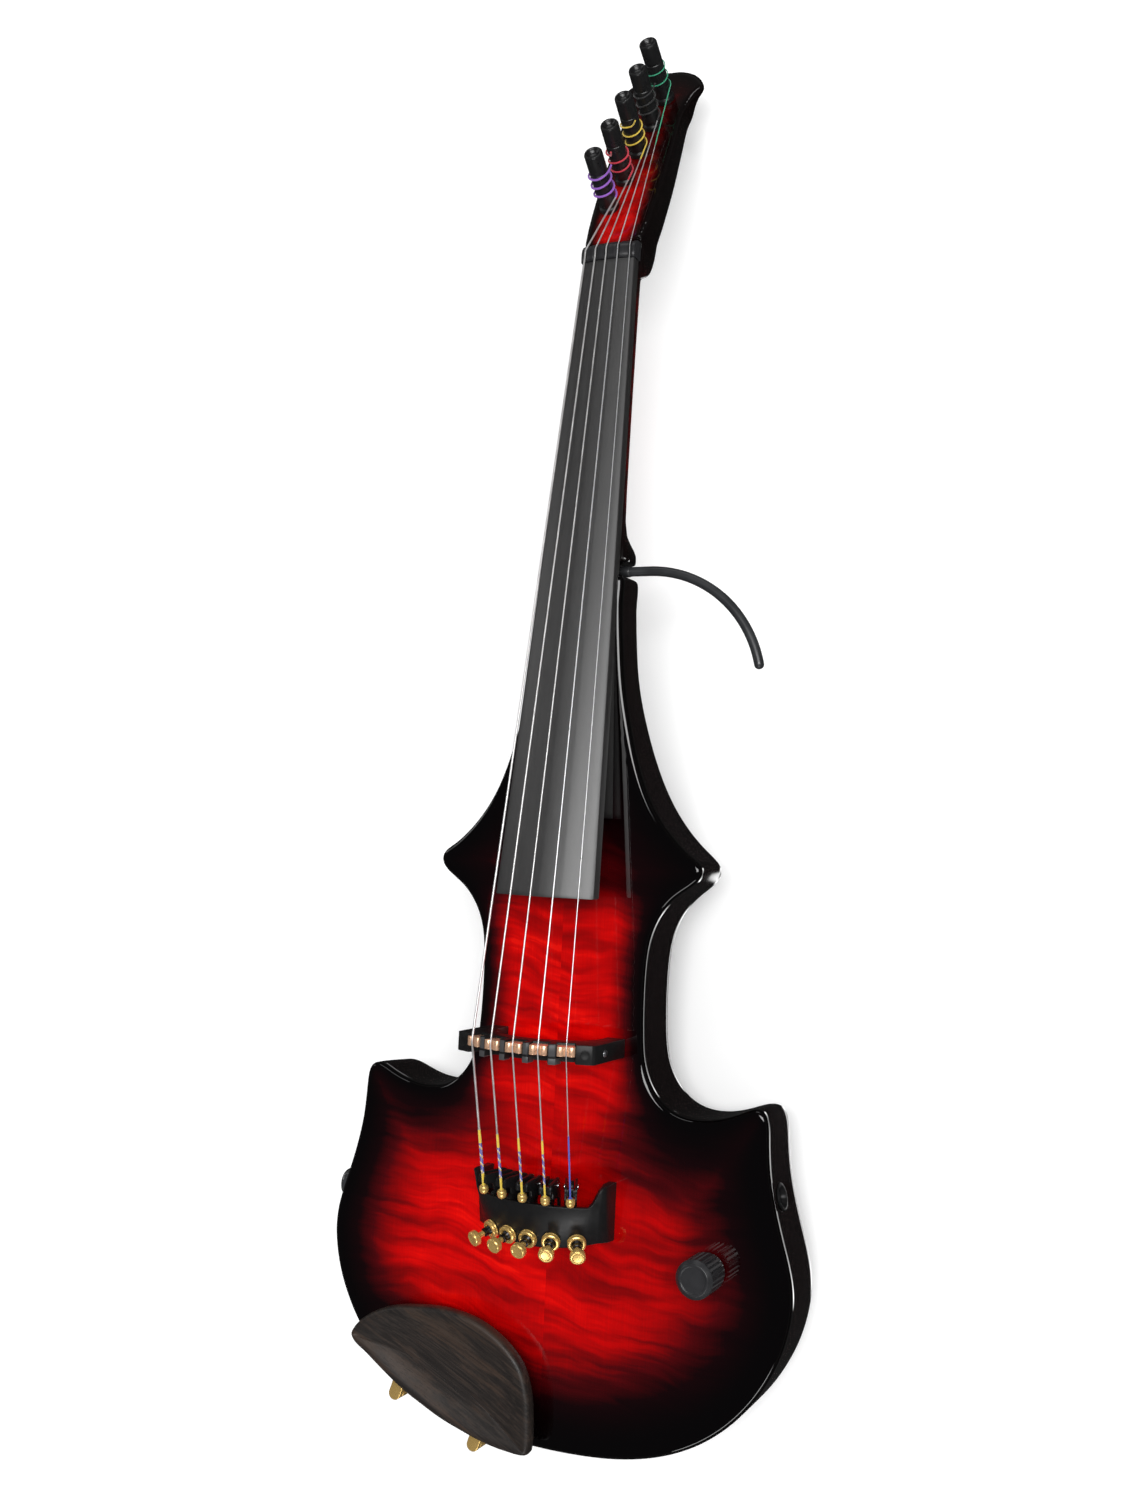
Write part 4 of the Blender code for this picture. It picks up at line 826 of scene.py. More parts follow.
NECK_SECTIONS = [(186.8, 13.8, 16.6, 5.0), (193.6, 13.8, 16.6, 5.0), (194.1, 19.4, 16.9, 5.0), (198.6, 19.2, 17.0, 4.5), (201.8, 17.6, 16.8, 3.6), (205.5, 16.1, 16.2, 2.8), (212.0, 15.6, 15.2, 2.3), (226.0, 15.3, 14.2, 2.1), (262.0, 14.1, 13.4, 2.0), (300.0, 12.8, 12.9, 2.0), (320.0, 12.2, 12.8, 2.0), (333.0, 12.2, 13.4, 2.0)]


def neck_ring(y, w, depth, power):
    z = board_under(y) - 0.05
    pts = [(w, y, z)]
    for k in range(1, 32):
        a = math.pi * k / 32
        c, s = math.cos(a), math.sin(a)
        pts.append((w * math.copysign(abs(c) ** (2 / power), c), y, z - depth * abs(s) ** (2 / power)))
    return pts + [(-w, y, z)]


table_y = [s[0] for s in NECK_SECTIONS]


def neck_at(y):
    return neck_ring(y, *[float(np.interp(y, table_y, [s[k] for s in NECK_SECTIONS])) for k in (1, 2, 3)])


HEAD_HALF = [(0, 111.8), (7.5, 110.8), (13.8, 107.8), (18.2, 103.4), (20.6, 98.6), (20.4, 95.2), (17.8, 91.2), (15.8, 85.0), (14.9, 78.0), (15.3, 62.0), (15.6, 45.0), (15.4, 28.0), (14.6, 12.0), (13.4, 0.7)]


def head_thickness(v):
    return HEAD_T0 + (HEAD_T1 - HEAD_T0) * v / 105


def open_curve(points, per_span):
    pts = [points[0]] + list(points) + [points[-1]]
    out = []
    for i in range(1, len(pts) - 2):
        p0, p1, p2, p3 = (np.array(pts[k], float) for k in (i - 1, i, i + 1, i + 2))
        for k in range(per_span):
            t = k / per_span
            out.append(0.5 * (2 * p1 + (p2 - p0) * t + (2 * p0 - 5 * p1 + 4 * p2 - p3) * t * t + (3 * p1 - p0 - 3 * p2 + p3) * t**3))
    return out + [np.array(points[-1], float)]


half = open_curve(HEAD_HALF, 6)
head_outline = np.array([tuple(p) for p in half] + [(-p[0], p[1]) for p in reversed(half[1:])])


def head_ring(h_of, depth):
    n = outward(head_outline)
    d = inset_depth(head_outline, depth)
    p = head_outline - n * d[:, None]
    p[:, 1] = np.maximum(p[:, 1], 0.7)
    out = []
    for u, v in p:
        flare = smoothstep((abs(u) - 13.0) / 7.0) * smoothstep((v - 84) / 8)
        tip = max(flare, smoothstep((v - 96) / 16))
        h = h_of(v)
        out.append(on_head(u, v, h * (1 - 0.62 * tip) if h < -2 else h))
    return out


head_rings = [
    head_ring(lambda v: 0.0, 1.7), head_ring(lambda v: -0.25, 0.7), head_ring(lambda v: -0.9, 0.15), head_ring(lambda v: -1.7, 0.0),
    head_ring(lambda v: -head_thickness(v) + 2.6, 0.0), head_ring(lambda v: -head_thickness(v) + 1.0, 0.55), head_ring(lambda v: -head_thickness(v) + 0.2, 1.5), head_ring(lambda v: -head_thickness(v), 2.6),
]


def ball(centre, rx, ry, rz, rows=24, sides=40):
    verts, faces = turned([(0, -1)] + [(math.sin(math.pi * k / rows), -math.cos(math.pi * k / rows)) for k in range(1, rows)] + [(0, 1)], sides)
    return [(centre[0] + x * rx, centre[1] + y * ry, centre[2] + z * rz) for x, y, z in verts], faces


HEEL_SHAPE = [tuple(p) for p in smooth_closed([(11.0, -3.0), (14.5, -9.0), (14.0, -14.0), (7.0, -16.4), (0.0, -16.9), (-5.0, -16.0), (-8.6, -13.8), (-10.4, -10.6), (-9.6, -8.2), (-2.0, -5.2), (4.0, -3.2)], 4)]

# The three shapes are joined, and the joins softened as carved and lacquered wood is.
pieces = [
    loft([neck_at(y) for y in [186.8, 190, 193.6, 194.1] + list(np.linspace(196, 333, 70))]),
    loft(head_rings),
    loft([[on_head(u, v + (1.5 - v) * (1 - k), h + (-9.0 - h) * (1 - k)) for v, h in HEEL_SHAPE] for u, k in ((-13.3, 0.90), (-12.9, 0.96), (-12.2, 0.99), (-11.2, 1.0), (11.2, 1.0), (12.2, 0.99), (12.9, 0.96), (13.3, 0.90))]),
]
me = bpy.data.meshes.new("neck_fine")
v_, f_ = merged(*pieces)
me.from_pydata([tuple(W(p)) for p in v_], [], [list(f) for f in f_])
bm = bmesh.new()
bm.from_mesh(me)
bmesh.ops.recalc_face_normals(bm, faces=bm.faces)
bm.to_mesh(me)
bm.free()
neck = bpy.data.objects.new("neck_fine", me)
bpy.context.scene.collection.objects.link(neck)
r = neck.modifiers.new("skin", "REMESH")
r.mode, r.voxel_size = "VOXEL", 0.0007
s = neck.modifiers.new("soft", "SMOOTH")
s.factor, s.iterations = 0.5, 5
graph = bpy.context.evaluated_depsgraph_get()
me = bpy.data.meshes.new_from_object(neck.evaluated_get(graph))
neck.modifiers.clear()
neck.data = me
co = np.empty(len(me.vertices) * 3, np.float32)
me.vertices.foreach_get("co", co)
inv = np.array(REST.inverted())
pl = co.reshape(-1, 3) @ inv[:3, :3].T + inv[:3, 3]
a = me.attributes.new("pl", "FLOAT_VECTOR", "POINT")
a.data.foreach_set("vector", pl.astype(np.float32).ravel())
hv = (pl[:, 1] - HEAD_Y) * COS - (pl[:, 2] - HEAD_Z) * SIN
hh = (pl[:, 1] - HEAD_Y) * SIN + (pl[:, 2] - HEAD_Z) * COS
half_w = np.interp(hv, [0, 12, 45, 78, 87, 95, 101, 106, 111], [13, 14.5, 15.5, 14.9, 15.4, 20, 17.6, 13, 4])
edge = half_w - np.abs(pl[:, 0])
face = ss((edge - 1.0) / 9.0) * ss((hh + 1.6) / 1.2) * ss((110 - hv) / 30) * (0.35 + 0.65 * ss((62 - hv) / 40))
depth = np.interp(pl[:, 1], [186, 210, 300, 333], [17, 15.4, 12.9, 13.4])
under = np.array([board_under(y) for y in pl[:, 1]])
down = (under - pl[:, 2]) / depth
back = 0.62 * ss((pl[:, 1] - 196) / 40) * ss((328 - pl[:, 1]) / 22) * (0.35 + 0.65 * ss(down / 0.5))
burst = np.where(hv > -1.5, face, back)
a = me.attributes.new("burst", "FLOAT", "POINT")
a.data.foreach_set("value", burst.astype(np.float32))
me.materials.clear()
me.materials.append(M["neck"])
me.shade_smooth()
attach(neck, ROOT)
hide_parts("neck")

board_coat = M["board"].node_tree.nodes["Principled BSDF"].inputs
board_coat["Coat Weight"].default_value = 0.8
board_coat["Coat Roughness"].default_value = 0.46


# ------------------------------------------------------------------ pegs
def peg_place(k):
    lean = math.radians(PEG_LEAN[k])
    return axes(on_head(PEG_U[k], PEG_V[k]), (math.sin(lean), math.cos(lean) * SIN, math.cos(lean) * COS))


for k in range(5):
    d = head_thickness(PEG_V[k]) + 1.0
    place = peg_place(k)
    profile = rounded_profile(
        [
            (0, PEG_L - 1.9), (1.6, PEG_L - 1.7), (2.5, PEG_L - 0.9), (3.0, PEG_L - 0.25), (3.4, PEG_L), (3.7, PEG_L - 0.1), (PEG_R, PEG_L - 0.7),
            (PEG_R, PEG_L - 9.1), (PEG_R - 0.3, PEG_L - 9.35), (PEG_R - 0.3, PEG_L - 9.65), (PEG_R, PEG_L - 9.9),
            (PEG_R, 4.0), (PEG_R - 0.3, 3.6), (PEG_R - 0.3, 2.6), (4.4, 2.2), (4.5, 0.2), (PEG_R, -0.3),
            (PEG_R, -d), (5.6, -d), (5.6, -d - 1.5), (3.0, -d - 2.4), (2.7, -d - 5.5), (0, -d - 6),
        ],
        0.35,
    )
    lens = ball((0, 0, 0), 7.9, 2.3, 6.7, 20, 40)
    lens = ([(-y * (0.62 + 0.38 * min(1.0, (x * x / 62.4 + z * z / 44.9))), x, z - d - 10.2) for x, y, z in lens[0]], lens[1])
    add(f"peg_{k + 1}_fine", merged(turned(profile, 56), lens), "post", body=f"peg_{k + 1}_body", nodes=[f"peg_{k + 1}"], place=place, angle=42)

# ------------------------------------------------------------------ strings
SILK_PEG = ["silk_purple", "silk_red", "silk_yellow", "silk_black", "silk_green"]
SEEN_R = [0.45, 0.37, 0.32, 0.28, 0.19]
LEAD = [0.0, 4.0, 9.0, 3.0, 34.0]  # silk before the first turn round the peg
for i in range(5):
    r0 = SEEN_R[i]
    xt, xb, xn = (string_x(i, s) for s in (TAIL_SPACING, BRIDGE_SPACING, NUT_SPACING))
    tail = Vector((xt, TAIL_Y, arch(xt, TAIL_Z, TAIL_ARCH)))
    over = Vector((xb, -1.6, arch(xb, BRIDGE_Z, BRIDGE_ARCH)))
    way = (over - tail).normalized()
    reach = (over - tail).length
    plan = [6.5, 19.0, 24.0]  # tail silk: yellow to here, spiral to here, yellow to here
    if i == 4:
        plan = [0.0, 0.0, 0.0]
    points = []  # point, radius, material
    core_m = "plain" if i >= 3 else "wound"
    for s, r in ((-2.2, 0.15), (-2.1, 0.8), (-1.8, 1.3), (-1.4, 1.65), (-0.8, 1.85), (0.0, 1.9), (0.8, 1.8), (1.3, 1.5), (1.6, 0.9)):
        points.append((tail + way * s, r, "gold"))
    silk_end = 24.5 if i < 4 else 27.0
    for s in np.arange(1.9, silk_end, 0.5):
        if i == 4:
            m = "silk_blue"
        elif s < plan[0]:
            m = "silk_yellow"
        elif s < plan[1]:
            m = "silk_spiral"
        else:
            m = "silk_yellow"
        points.append((tail + way * s, (r0 + 0.14) * (1.0 if s < silk_end - 1.5 else 0.92), m))
    for s in np.linspace(silk_end + 0.3, reach - 2.0, 14):
        points.append((tail + way * s, r0, core_m))
    points.append((over, r0, core_m))
    points.append((over + Vector((0, 1.6, -0.05)), r0, core_m))
    nut_z = arch(xn, NUT_Z, NUT_ARCH)
    a0, a1 = points[-1][0], Vector((xn, 327.2, nut_z + 0.05))
    for t in np.linspace(0.02, 0.995, 40):
        points.append((a0.lerp(a1, t), r0, core_m))
    points.append((a1, r0, core_m))
    points.append((Vector((xn * 0.995, 329.2, nut_z + 0.0)), r0, core_m))
    exit_ = Vector((xn * 0.99, 330.6, nut_z - 0.12))
    ring = PEG_R + r0 + 0.22
    turns = WRAP_TURNS[i]
    wraps = []
    steps = int(turns * 36)
    for j in range(steps + 1):
        aa = 2 * math.pi * turns * j / steps - 0.15
        jitter = 0.22 * math.sin(aa * 1.7 + i * 2.1)
        h = WRAP_H[i] + WRAP_PITCH[i] * turns * j / steps + jitter * min(1, j / 12)
        wraps.append(peg_place(i) @ Vector((ring * math.cos(aa), ring * math.sin(aa), h)))
    first = wraps[0]
    length = (first - exit_).length
    for t in np.linspace(0, 0.985, 30):
        p = exit_.lerp(first, t)
        silk = (1 - t) * length < LEAD[i]
        points.append((p, r0 * 0.9 + (0.06 if silk else 0), SILK_PEG[i] if silk else core_m))
    for p in wraps:
        points.append((p, r0 * 0.9 + 0.06, SILK_PEG[i]))
    # the cut end springs off the peg a little
    tip, before = wraps[-1], wraps[-4]
    step = (tip - before) / 3
    out_way = (tip - peg_place(i).translation).normalized()
    for j in range(1, 7):
        points.append((tip + step * j * 0.8 + out_way * 0.10 * j * j, r0 * 0.85 + 0.05, SILK_PEG[i]))
    kinds = []
    for p in points:
        if p[2] not in kinds:
            kinds.append(p[2])
    sides = 14
    shape = tube_data([p[0] for p in points], [p[1] for p in points], sides)
    fm = []
    for a_ in range(len(points) - 1):
        fm += [kinds.index(points[a_ + 1][2])] * sides
    fm += [0, kinds.index(points[-1][2])]
    around = [k / sides for _ in points for k in range(sides)]
    # One piece runs from its lever, where its ball is held, to its peg.
    s_ob = add(f"string_{i + 1}_fine", shape, kinds, nodes=[f"string_{i + 1}"], angle=60, face_mats=fm, values={"around": around}, free=True)
    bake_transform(s_ob)

# ------------------------------------------------------------------ bridge
def at_saddle(i, across, out):
    x = string_x(i, BRIDGE_SPACING)
    z = arch(x, BRIDGE_Z, BRIDGE_ARCH)
    lean = math.atan(x / BRIDGE_ARCH)
    return (x + across * math.cos(lean) + out * math.sin(lean), z - across * math.sin(lean) + out * math.cos(lean))


profile = [(-BRIDGE_HALF, 0.1), (-BRIDGE_HALF, 28.2), (-29.2, 29.4)]
for i in range(5):
    h = SADDLE_W / 2 + 0.15
    profile += [at_saddle(i, -h, -1.0), at_saddle(i, -h, -7.2), at_saddle(i, h, -7.2), at_saddle(i, h, -1.0)]
profile += [(29.2, 29.4), (BRIDGE_HALF, 28.2), (BRIDGE_HALF, 0.1), (22.4, 0.1), (22.4, 8)]
for a in range(20, 161, 7):
    profile.append((21.5 * math.cos(math.radians(a)), 10 + 15.5 * math.sin(math.radians(a))))
profile += [(-22.4, 8), (-22.4, 0.1)]
bridge = add("bridge_fine", across_y(profile, BRIDGE_REAR, BRIDGE_FRONT), "bridge", nodes=["bridge"], bevel=0.3, segments=2, angle=35)
spacers = []
for i in range(4):
    (x0, z0), (x1, z1) = at_saddle(i, SADDLE_W / 2 + 0.35, -0.9), at_saddle(i + 1, -SADDLE_W / 2 - 0.35, -0.9)
    spacers.append(loft([[(x0, y, z0), (x1, y, z1), (x1, y, z1 - 5), (x0, y, z0 - 5)] for y in (BRIDGE_REAR - 0.5, -4.2)]))
    spacers.append(loft([[(x0 + 0.2, y, z0 + 0.25), (x1 - 0.2, y, z1 + 0.25), (x1 - 0.2, y, z1 - 2), (x0 + 0.2, y, z0 - 2)] for y in (-3.4, BRIDGE_FRONT - 0.3)]))
add("bridge_spacers", merged(*spacers), "spacer", bevel=0.2)
for i in range(5):
    r = STRING_R[i]
    h, n = SADDLE_W / 2, r + 0.32
    out = [(-h, -6.9), (h, -6.9), (h, -0.5), (h - 0.5, 0.0), (1.9, 0.15), (1.2, -0.15), (n, -0.75), (n * 0.8, -n - 0.1), (0, -n - 0.35), (-n * 0.8, -n - 0.1), (-n, -0.75), (-1.2, -0.15), (-1.9, 0.15), (-h + 0.5, 0.0), (-h, -0.5)]
    add(f"saddle_{i + 1}_fine", across_y([at_saddle(i, a, o) for a, o in out], -3.2, 0.5), "copper", nodes=[f"saddle_{i + 1}"], bevel=0.18, segments=2, bevel_angle=40)
for k, (x, y) in enumerate([(-26.2, -2.4), (26.2, -2.4)]):
    sgn = 1 if x > 0 else -1
    # A dark disc on the bridge top is painted shade for the inside of the screw well.
    add(f"bridge_screw_well_painted_shade_{k}", turned([(0, -0.3), (2.0, -0.3), (2.0, 0.10), (1.75, 0.16), (1.55, 0.04), (0, 0.03)], 40), "dark", place=axes((sgn * 26.6, y, 30.45), (sgn * 0.375, 0, 0.927)))
    hexagon = [(1.25 * math.cos(math.pi / 3 * j), 1.25 * math.sin(math.pi / 3 * j)) for j in range(6)]
    name = "bass" if x < 0 else "treble"
    socket_screw = merged(turned(rounded_profile([(0, -15), (1.4, -15), (1.9, -14.4), (1.9, 25.2), (1.5, 25.7), (0, 25.7)], 0.15), 32))
    add(f"height_screw_{name}_fine", socket_screw, "dark_steel", nodes=[f"height_screw_{name}"], place=axes((x, y, 0), (0, 0, 1)))
    add(f"height_screw_{name}_foot", turned(rounded_profile([(1.95, 0.05), (3.6, 0.05), (3.6, 0.9), (1.95, 1.5)], 0.15), 40), "dark_steel", place=axes((x, y - 6.3, 0), (0, 0, 1)) if False else axes((x, y, 0), (0, 0, 1)))
for sgn in (-1, 1):
    add(f"bridge_set_screw_{'t' if sgn > 0 else 'b'}", turned(rounded_profile([(0, 0.9), (0.9, 0.75), (1.5, 0.1), (1.5, -1.0), (0, -1.0)], 0.2), 32), "steel", place=axes((sgn * BRIDGE_HALF, -2.4, 19.5), (sgn, 0, 0), (0, 0, 1)))

# ------------------------------------------------------------------ tailpiece
def plate_front(a):
    return -63.0 + 8.0 * smoothstep((abs(a) - 33.5) / 8)


def plate_rear(a):
    return -81.0 + 3.5 * (abs(a) / 45) ** 2


def plate_radius(y):
    return CONE_R + (y - CONE_Y) * CONE_SLOPE


def plate_ring(a):
    f, b = plate_front(a), plate_rear(a)
    ring = []
    section = [(f, 0.5), (f - 0.15, 0.15), (f - 0.5, 0.0), (b + 0.5, 0.0), (b + 0.15, 0.15), (b, 0.5), (b, PLATE_T - 0.4), (b + 0.4, PLATE_T), (f - 0.4, PLATE_T), (f, PLATE_T - 0.4)]
    for y, drop in section:
        r = plate_radius(min(y, -62.5)) - drop
        ring.append((r * math.sin(math.radians(a)), y, CONE_Z + r * math.cos(math.radians(a))))
    return ring


def leg(side):
    f, b = plate_front(45), plate_rear(45)
    xo, xi = 29.0, 29.0 - PLATE_T
    levels_ = []
    for z, q in ((0.1, 0.0), (2.0, 0.0), (4.0, 0.35), (6.0, 1.0)):
        zf, zb = z + q * 2.4, z - q * 0.6
        levels_.append([(xo - 0.1, f, zf), (xo, f - 0.15, zf), (xo, f - 0.5, zf), (xo - 0.5 * q, b + 0.5, zb), (xo - 0.5 * q, b + 0.15, zb), (xo - 0.6 * q - 0.1, b, zb), (xi, b, zb - q * 1.2), (xi, b + 0.4, zb - q * 1.2), (xi, f - 0.4, zf - q * 2.2), (xi, f, zf - q * 2.2)])
    return [[(side * x, y, z) for x, y, z in r] for r in levels_]


stations = [-41, -39.5] + list(np.arange(-38, 38.1, 2)) + [39.5, 41]
rings = leg(-1) + [plate_ring(a) for a in stations] + list(reversed(leg(1)))
tail_shape = loft(rings)


def lever_place(i):
    x = string_x(i, TAIL_SPACING)
    lean = math.radians(12.3) * (i - 2)
    up = Vector((math.sin(lean), 0, math.cos(lean)))
    seat = Vector((x, TAIL_Y, arch(x, TAIL_Z, TAIL_ARCH)))
    return axes(seat - up * LEVER_RISE + Vector((0, LEVER_BACK, 0)), (math.cos(lean), 0, -math.sin(lean)), (0, 1, 0))


def screw_place(i):
    x = string_x(i, RING_SPACING)
    lean = math.asin(x / CONE_R)
    r = plate_radius(RING_Y)
    tilt = math.atan(CONE_SLOPE)
    p = (r * math.sin(lean), RING_Y, CONE_Z + r * math.cos(lean))
    return axes(p, (math.cos(tilt) * math.sin(lean), -math.sin(tilt), math.cos(tilt) * math.cos(lean)))


TONGUE = [(2.4, -1.0), (2.4, 1.0), (1.2, 2.4), (-3.0, 3.2), (-6.0, 6.4), (-8.5, 7.0), (-12.0, 4.6), (-12.0, 3.0), (-6.5, -1.2), (-1.2, -2.4), (1.2, -2.4)]
CHEEK = [(2.6, -2.0), (3.3, 0.0), (3.0, 2.6), (2.3, 10.8), (1.4, 11.7), (-0.6, 11.7), (-1.3, 11.0), (-1.3, 8.1), (-4.0, 7.0), (-4.6, 3.0), (-5.0, -2.6), (-15.0, -5.2), (-15.0, -8.0), (-6.0, -5.6), (0.0, -3.4)]
LEVER_HALF, CHEEK_IN, TONGUE_HALF = 2.5, 1.45, 1.1
add("tailpiece_fine", tail_shape, "satin", nodes=["tailpiece"], angle=62)
for i in range(5):
    lp, sp = lever_place(i), screw_place(i)
    add(f"tailpiece_tongue_{i + 1}", prism(TONGUE, -TONGUE_HALF, TONGUE_HALF), "satin", place=lp, bevel=0.2)
    body = f"tuner_{i + 1}_lever"
    tip = lp.inverted() @ (sp @ Vector((0, 0, -TIP)))
    px, py, pz = tip
    pt = py - 0.45
    pad = loft(
        [
            [(-10.6, -4.3, -LEVER_HALF), (-10.6, -4.3, LEVER_HALF), (-10.6, -6.6, LEVER_HALF), (-10.6, -6.6, -LEVER_HALF)],
            [(-14.4, pt - 0.3, pz - 2.0), (-14.4, pt - 0.3, pz + 2.0), (-14.4, pt - 2.9, pz + 2.0), (-14.4, pt - 2.9, pz - 2.0)],
            [(px - 2.6, pt, pz - 2.0), (px - 2.6, pt, pz + 2.0), (px - 2.6, pt - 2.5, pz + 2.0), (px - 2.6, pt - 2.5, pz - 2.0)],
        ]
    )
    smooth_cheek = [tuple(p) for p in smooth_closed(CHEEK, 3)]
    shapes = [prism(smooth_cheek, -LEVER_HALF, -CHEEK_IN), prism(smooth_cheek, CHEEK_IN, LEVER_HALF), pad]
    shapes.append(prism([(-1.3, 6.8), (1.2, 6.8), (1.2, 9.2), (-1.3, 9.2)], -LEVER_HALF + 0.05, LEVER_HALF - 0.05))
    shapes.append(prism([(-1.25, 9.0), (1.2, 9.0), (1.2, 11.6), (-1.25, 11.6)], -LEVER_HALF + 0.05, -0.85))
    shapes.append(prism([(-1.25, 9.0), (1.2, 9.0), (1.2, 11.6), (-1.25, 11.6)], 0.85, LEVER_HALF - 0.05))
    add(f"tuner_lever_{i + 1}_fine", merged(*shapes), "satin", body=body, nodes=[f"tuner_lever_{i + 1}"], place=lp, bevel=0.22, segments=2, bevel_angle=35)
    pin = merged(*[turned(rounded_profile([(0, s * 2.2), (1.15, s * 2.2), (1.15, s * 2.85), (0.8, s * 3.0), (0, s * 3.02)], 0.12), 28) for s in (-1, 1)])
    add(f"tuner_pin_{i + 1}", pin, "chrome", body=body, place=lp)
    add(f"tuner_ring_{i + 1}_fine", turned(rounded_profile([(2.1, 0.05), (3.7, 0.05), (3.75, 0.5), (3.55, 0.7), (3.55, 0.95), (3.75, 1.15), (3.6, 1.9), (3.1, 2.25), (2.5, 2.25), (2.1, 1.8), (2.1, 0.05)][:-1], 0.14), 56), "gold", nodes=[f"tuner_ring_{i + 1}"], place=sp, angle=50)
    thread = [(0, -TIP), (0.8, -TIP + 0.2), (1.5, -TIP + 1.1)]
    z = -TIP + 1.4
    while z < 2.6:
        thread += [(1.72, z), (1.5, z + 0.25)]
        z += 0.5
    thread += [(1.75, 2.9), (1.75, 4.4), (1.5, 4.6), (0, 4.6)]
    add(f"tuner_screw_{i + 1}_fine", turned(thread, 36), "dark_steel", body=f"tuner_{i + 1}_screw", nodes=[f"tuner_screw_{i + 1}"], place=sp, angle=50)

    def notch(a, r, z):
        return r - (0.05 * max(0.0, math.sin(a * 22)) if r > 2.9 and 8.4 < z < 9.8 else 0)

    head_profile = rounded_profile([(0, 4.7), (1.15, 4.7), (1.15, 7.3), (1.7, 7.6), (2.75, 7.75), (3.1, 8.2), (3.1, 9.9), (2.75, 10.4), (2.2, 10.5), (1.9, 10.3), (0, 10.25)], 0.18)
    add(f"tuner_head_{i + 1}_fine", turned(head_profile, 88, notch), "gold", body=f"tuner_{i + 1}_head", nodes=[f"tuner_head_{i + 1}"], place=sp, angle=50)

# ------------------------------------------------------------------ knob, jack, cover
def flute(a, r, z):
    if r < 7.0 or z > 15.3:
        return r
    return r - 0.55 * max(0.0, math.cos(a * 26)) ** 0.7


knob_profile = rounded_profile([(0, 16.75), (4.9, 16.75), (5.15, 17.0), (5.9, 17.0), (7.45, 15.6), (7.5, 15.2), (7.5, 3.2), (7.1, 1.6), (6.9, 1.0), (5.4, 1.0), (5.4, 3.4), (2.2, 3.4), (2.2, 13.0), (0, 13.0)], 0.2)
up = axes((*KNOB, 0), (0, 0, 1))
add("volume_knob_fine", turned(knob_profile, 208, flute), "knob", body="volume_control", nodes=["volume_knob"], place=up, angle=40)
nut_p = rounded_profile([(3.2, -22), (4.4, -22), (4.4, 0.4), (6.3, 0.4), (6.4, 2.2), (6.0, 2.6), (6.3, 3.0), (6.3, 5.4), (5.5, 6.6), (3.5, 6.8), (3.2, 6.4)], 0.2)


def knurl(a, r, z):
    return r - (0.12 * max(0.0, math.cos(a * 30)) if 2.8 < z < 5.6 and r > 5.9 else 0)


add("output_jack_fine", turned(nut_p, 120, knurl), "chrome", nodes=["output_jack"], place=JACK, angle=45)
add("control_cover_fine", prism(rounded(65, -83, 44, 58, 7), -33.9, -31.6), "cover", nodes=["control_cover"], bevel=0.5, segments=3)
for k, (x, y) in enumerate([(65, -108.2), (65, -57.8)]):
    cross = merged(turned(rounded_profile([(0, -34.05), (2.1, -34.0), (2.3, -33.6), (0.9, -32.2), (0.9, -23.5), (0, -23)], 0.1), 40))
    add(f"cover_screw_{k + 1}_fine", cross, "dark_steel", nodes=[f"cover_screw_{k + 1}"], place=axes((x, y, 0), (0, 0, 1)))
    # Dark bars on the screw head are painted shade for its cross recess.
    slot_shade_bits = merged(box(-1.35, 1.35, -0.28, 0.28, -34.13, -33.9), box(-0.28, 0.28, -1.35, 1.35, -34.13, -33.9))
    add(f"cover_screw_{k + 1}_drive_painted_shade", slot_shade_bits, "dark", place=axes((x, y, 0), (0, 0, 1)))

# ------------------------------------------------------------------ chin rest and its clamp
CHIN = [
    (-83.8, -130.6), (-79.6, -124.6), (-73.6, -120.4), (-64.6, -116.6), (-54.0, -114.6), (-41.2, -113.4), (-27.2, -114.9), (-17.8, -118.4), (-9.4, -123.9),
    (-3.4, -130.6), (0.2, -140.8), (1.2, -149.0), (1.4, -159.4), (0.2, -163.2), (-9.5, -163.6), (-20.6, -162.0), (-30.0, -159.6), (-38.8, -157.0), (-48.6, -153.0),
    (-58.2, -148.6), (-68.0, -142.8), (-75.4, -138.0), (-82.4, -133.6),
]
chin = even(smooth_closed(CHIN, 10), 1.0)
centre = np.array([-38.0, -139.0])
cn = outward(chin)


def chin_ring(depth, z):
    d = inset_depth(chin, depth)
    p = chin - cn * d[:, None]
    return [(x, y, z) for x, y in p]


rings = [chin_ring(7.0, 3.4), chin_ring(4.5, 3.6), chin_ring(2.4, 4.5), chin_ring(0.8, 5.9), chin_ring(0.15, 7.2), chin_ring(0.0, 8.6), chin_ring(0.1, 10.3), chin_ring(0.45, 11.3), chin_ring(1.1, 11.9), chin_ring(2.0, 12.1), chin_ring(3.2, 11.9)]
base = np.array([p[:2] for p in rings[-1]])
for s_, z_ in ((0.93, 11.45), (0.84, 10.7), (0.74, 10.0), (0.62, 9.4), (0.5, 9.0), (0.36, 8.75), (0.22, 8.6), (0.08, 8.55)):
    rings.append([(x, y, z_) for x, y in centre + (base - centre) * s_])
add("chinrest_plate_fine", loft(rings), "chin", nodes=["chinrest_plate"], angle=60)
A, B = Vector((*CLAMP_A, 0)), Vector((*CLAMP_B, 0))
E = (B - A).normalized()
O = Vector((E.y, -E.x, 0))
span = (B - A).length


def on_clamp(points):
    return [tuple((A + E * e + O * o).to_2d()) for e, o in points]


def foot_end(e):
    """The clamp's arm ends in a half round about its stud."""
    return [(e - 2.7 * math.cos(math.pi * k / 12), 2.7 * math.sin(math.pi * k / 12)) for k in range(13)]


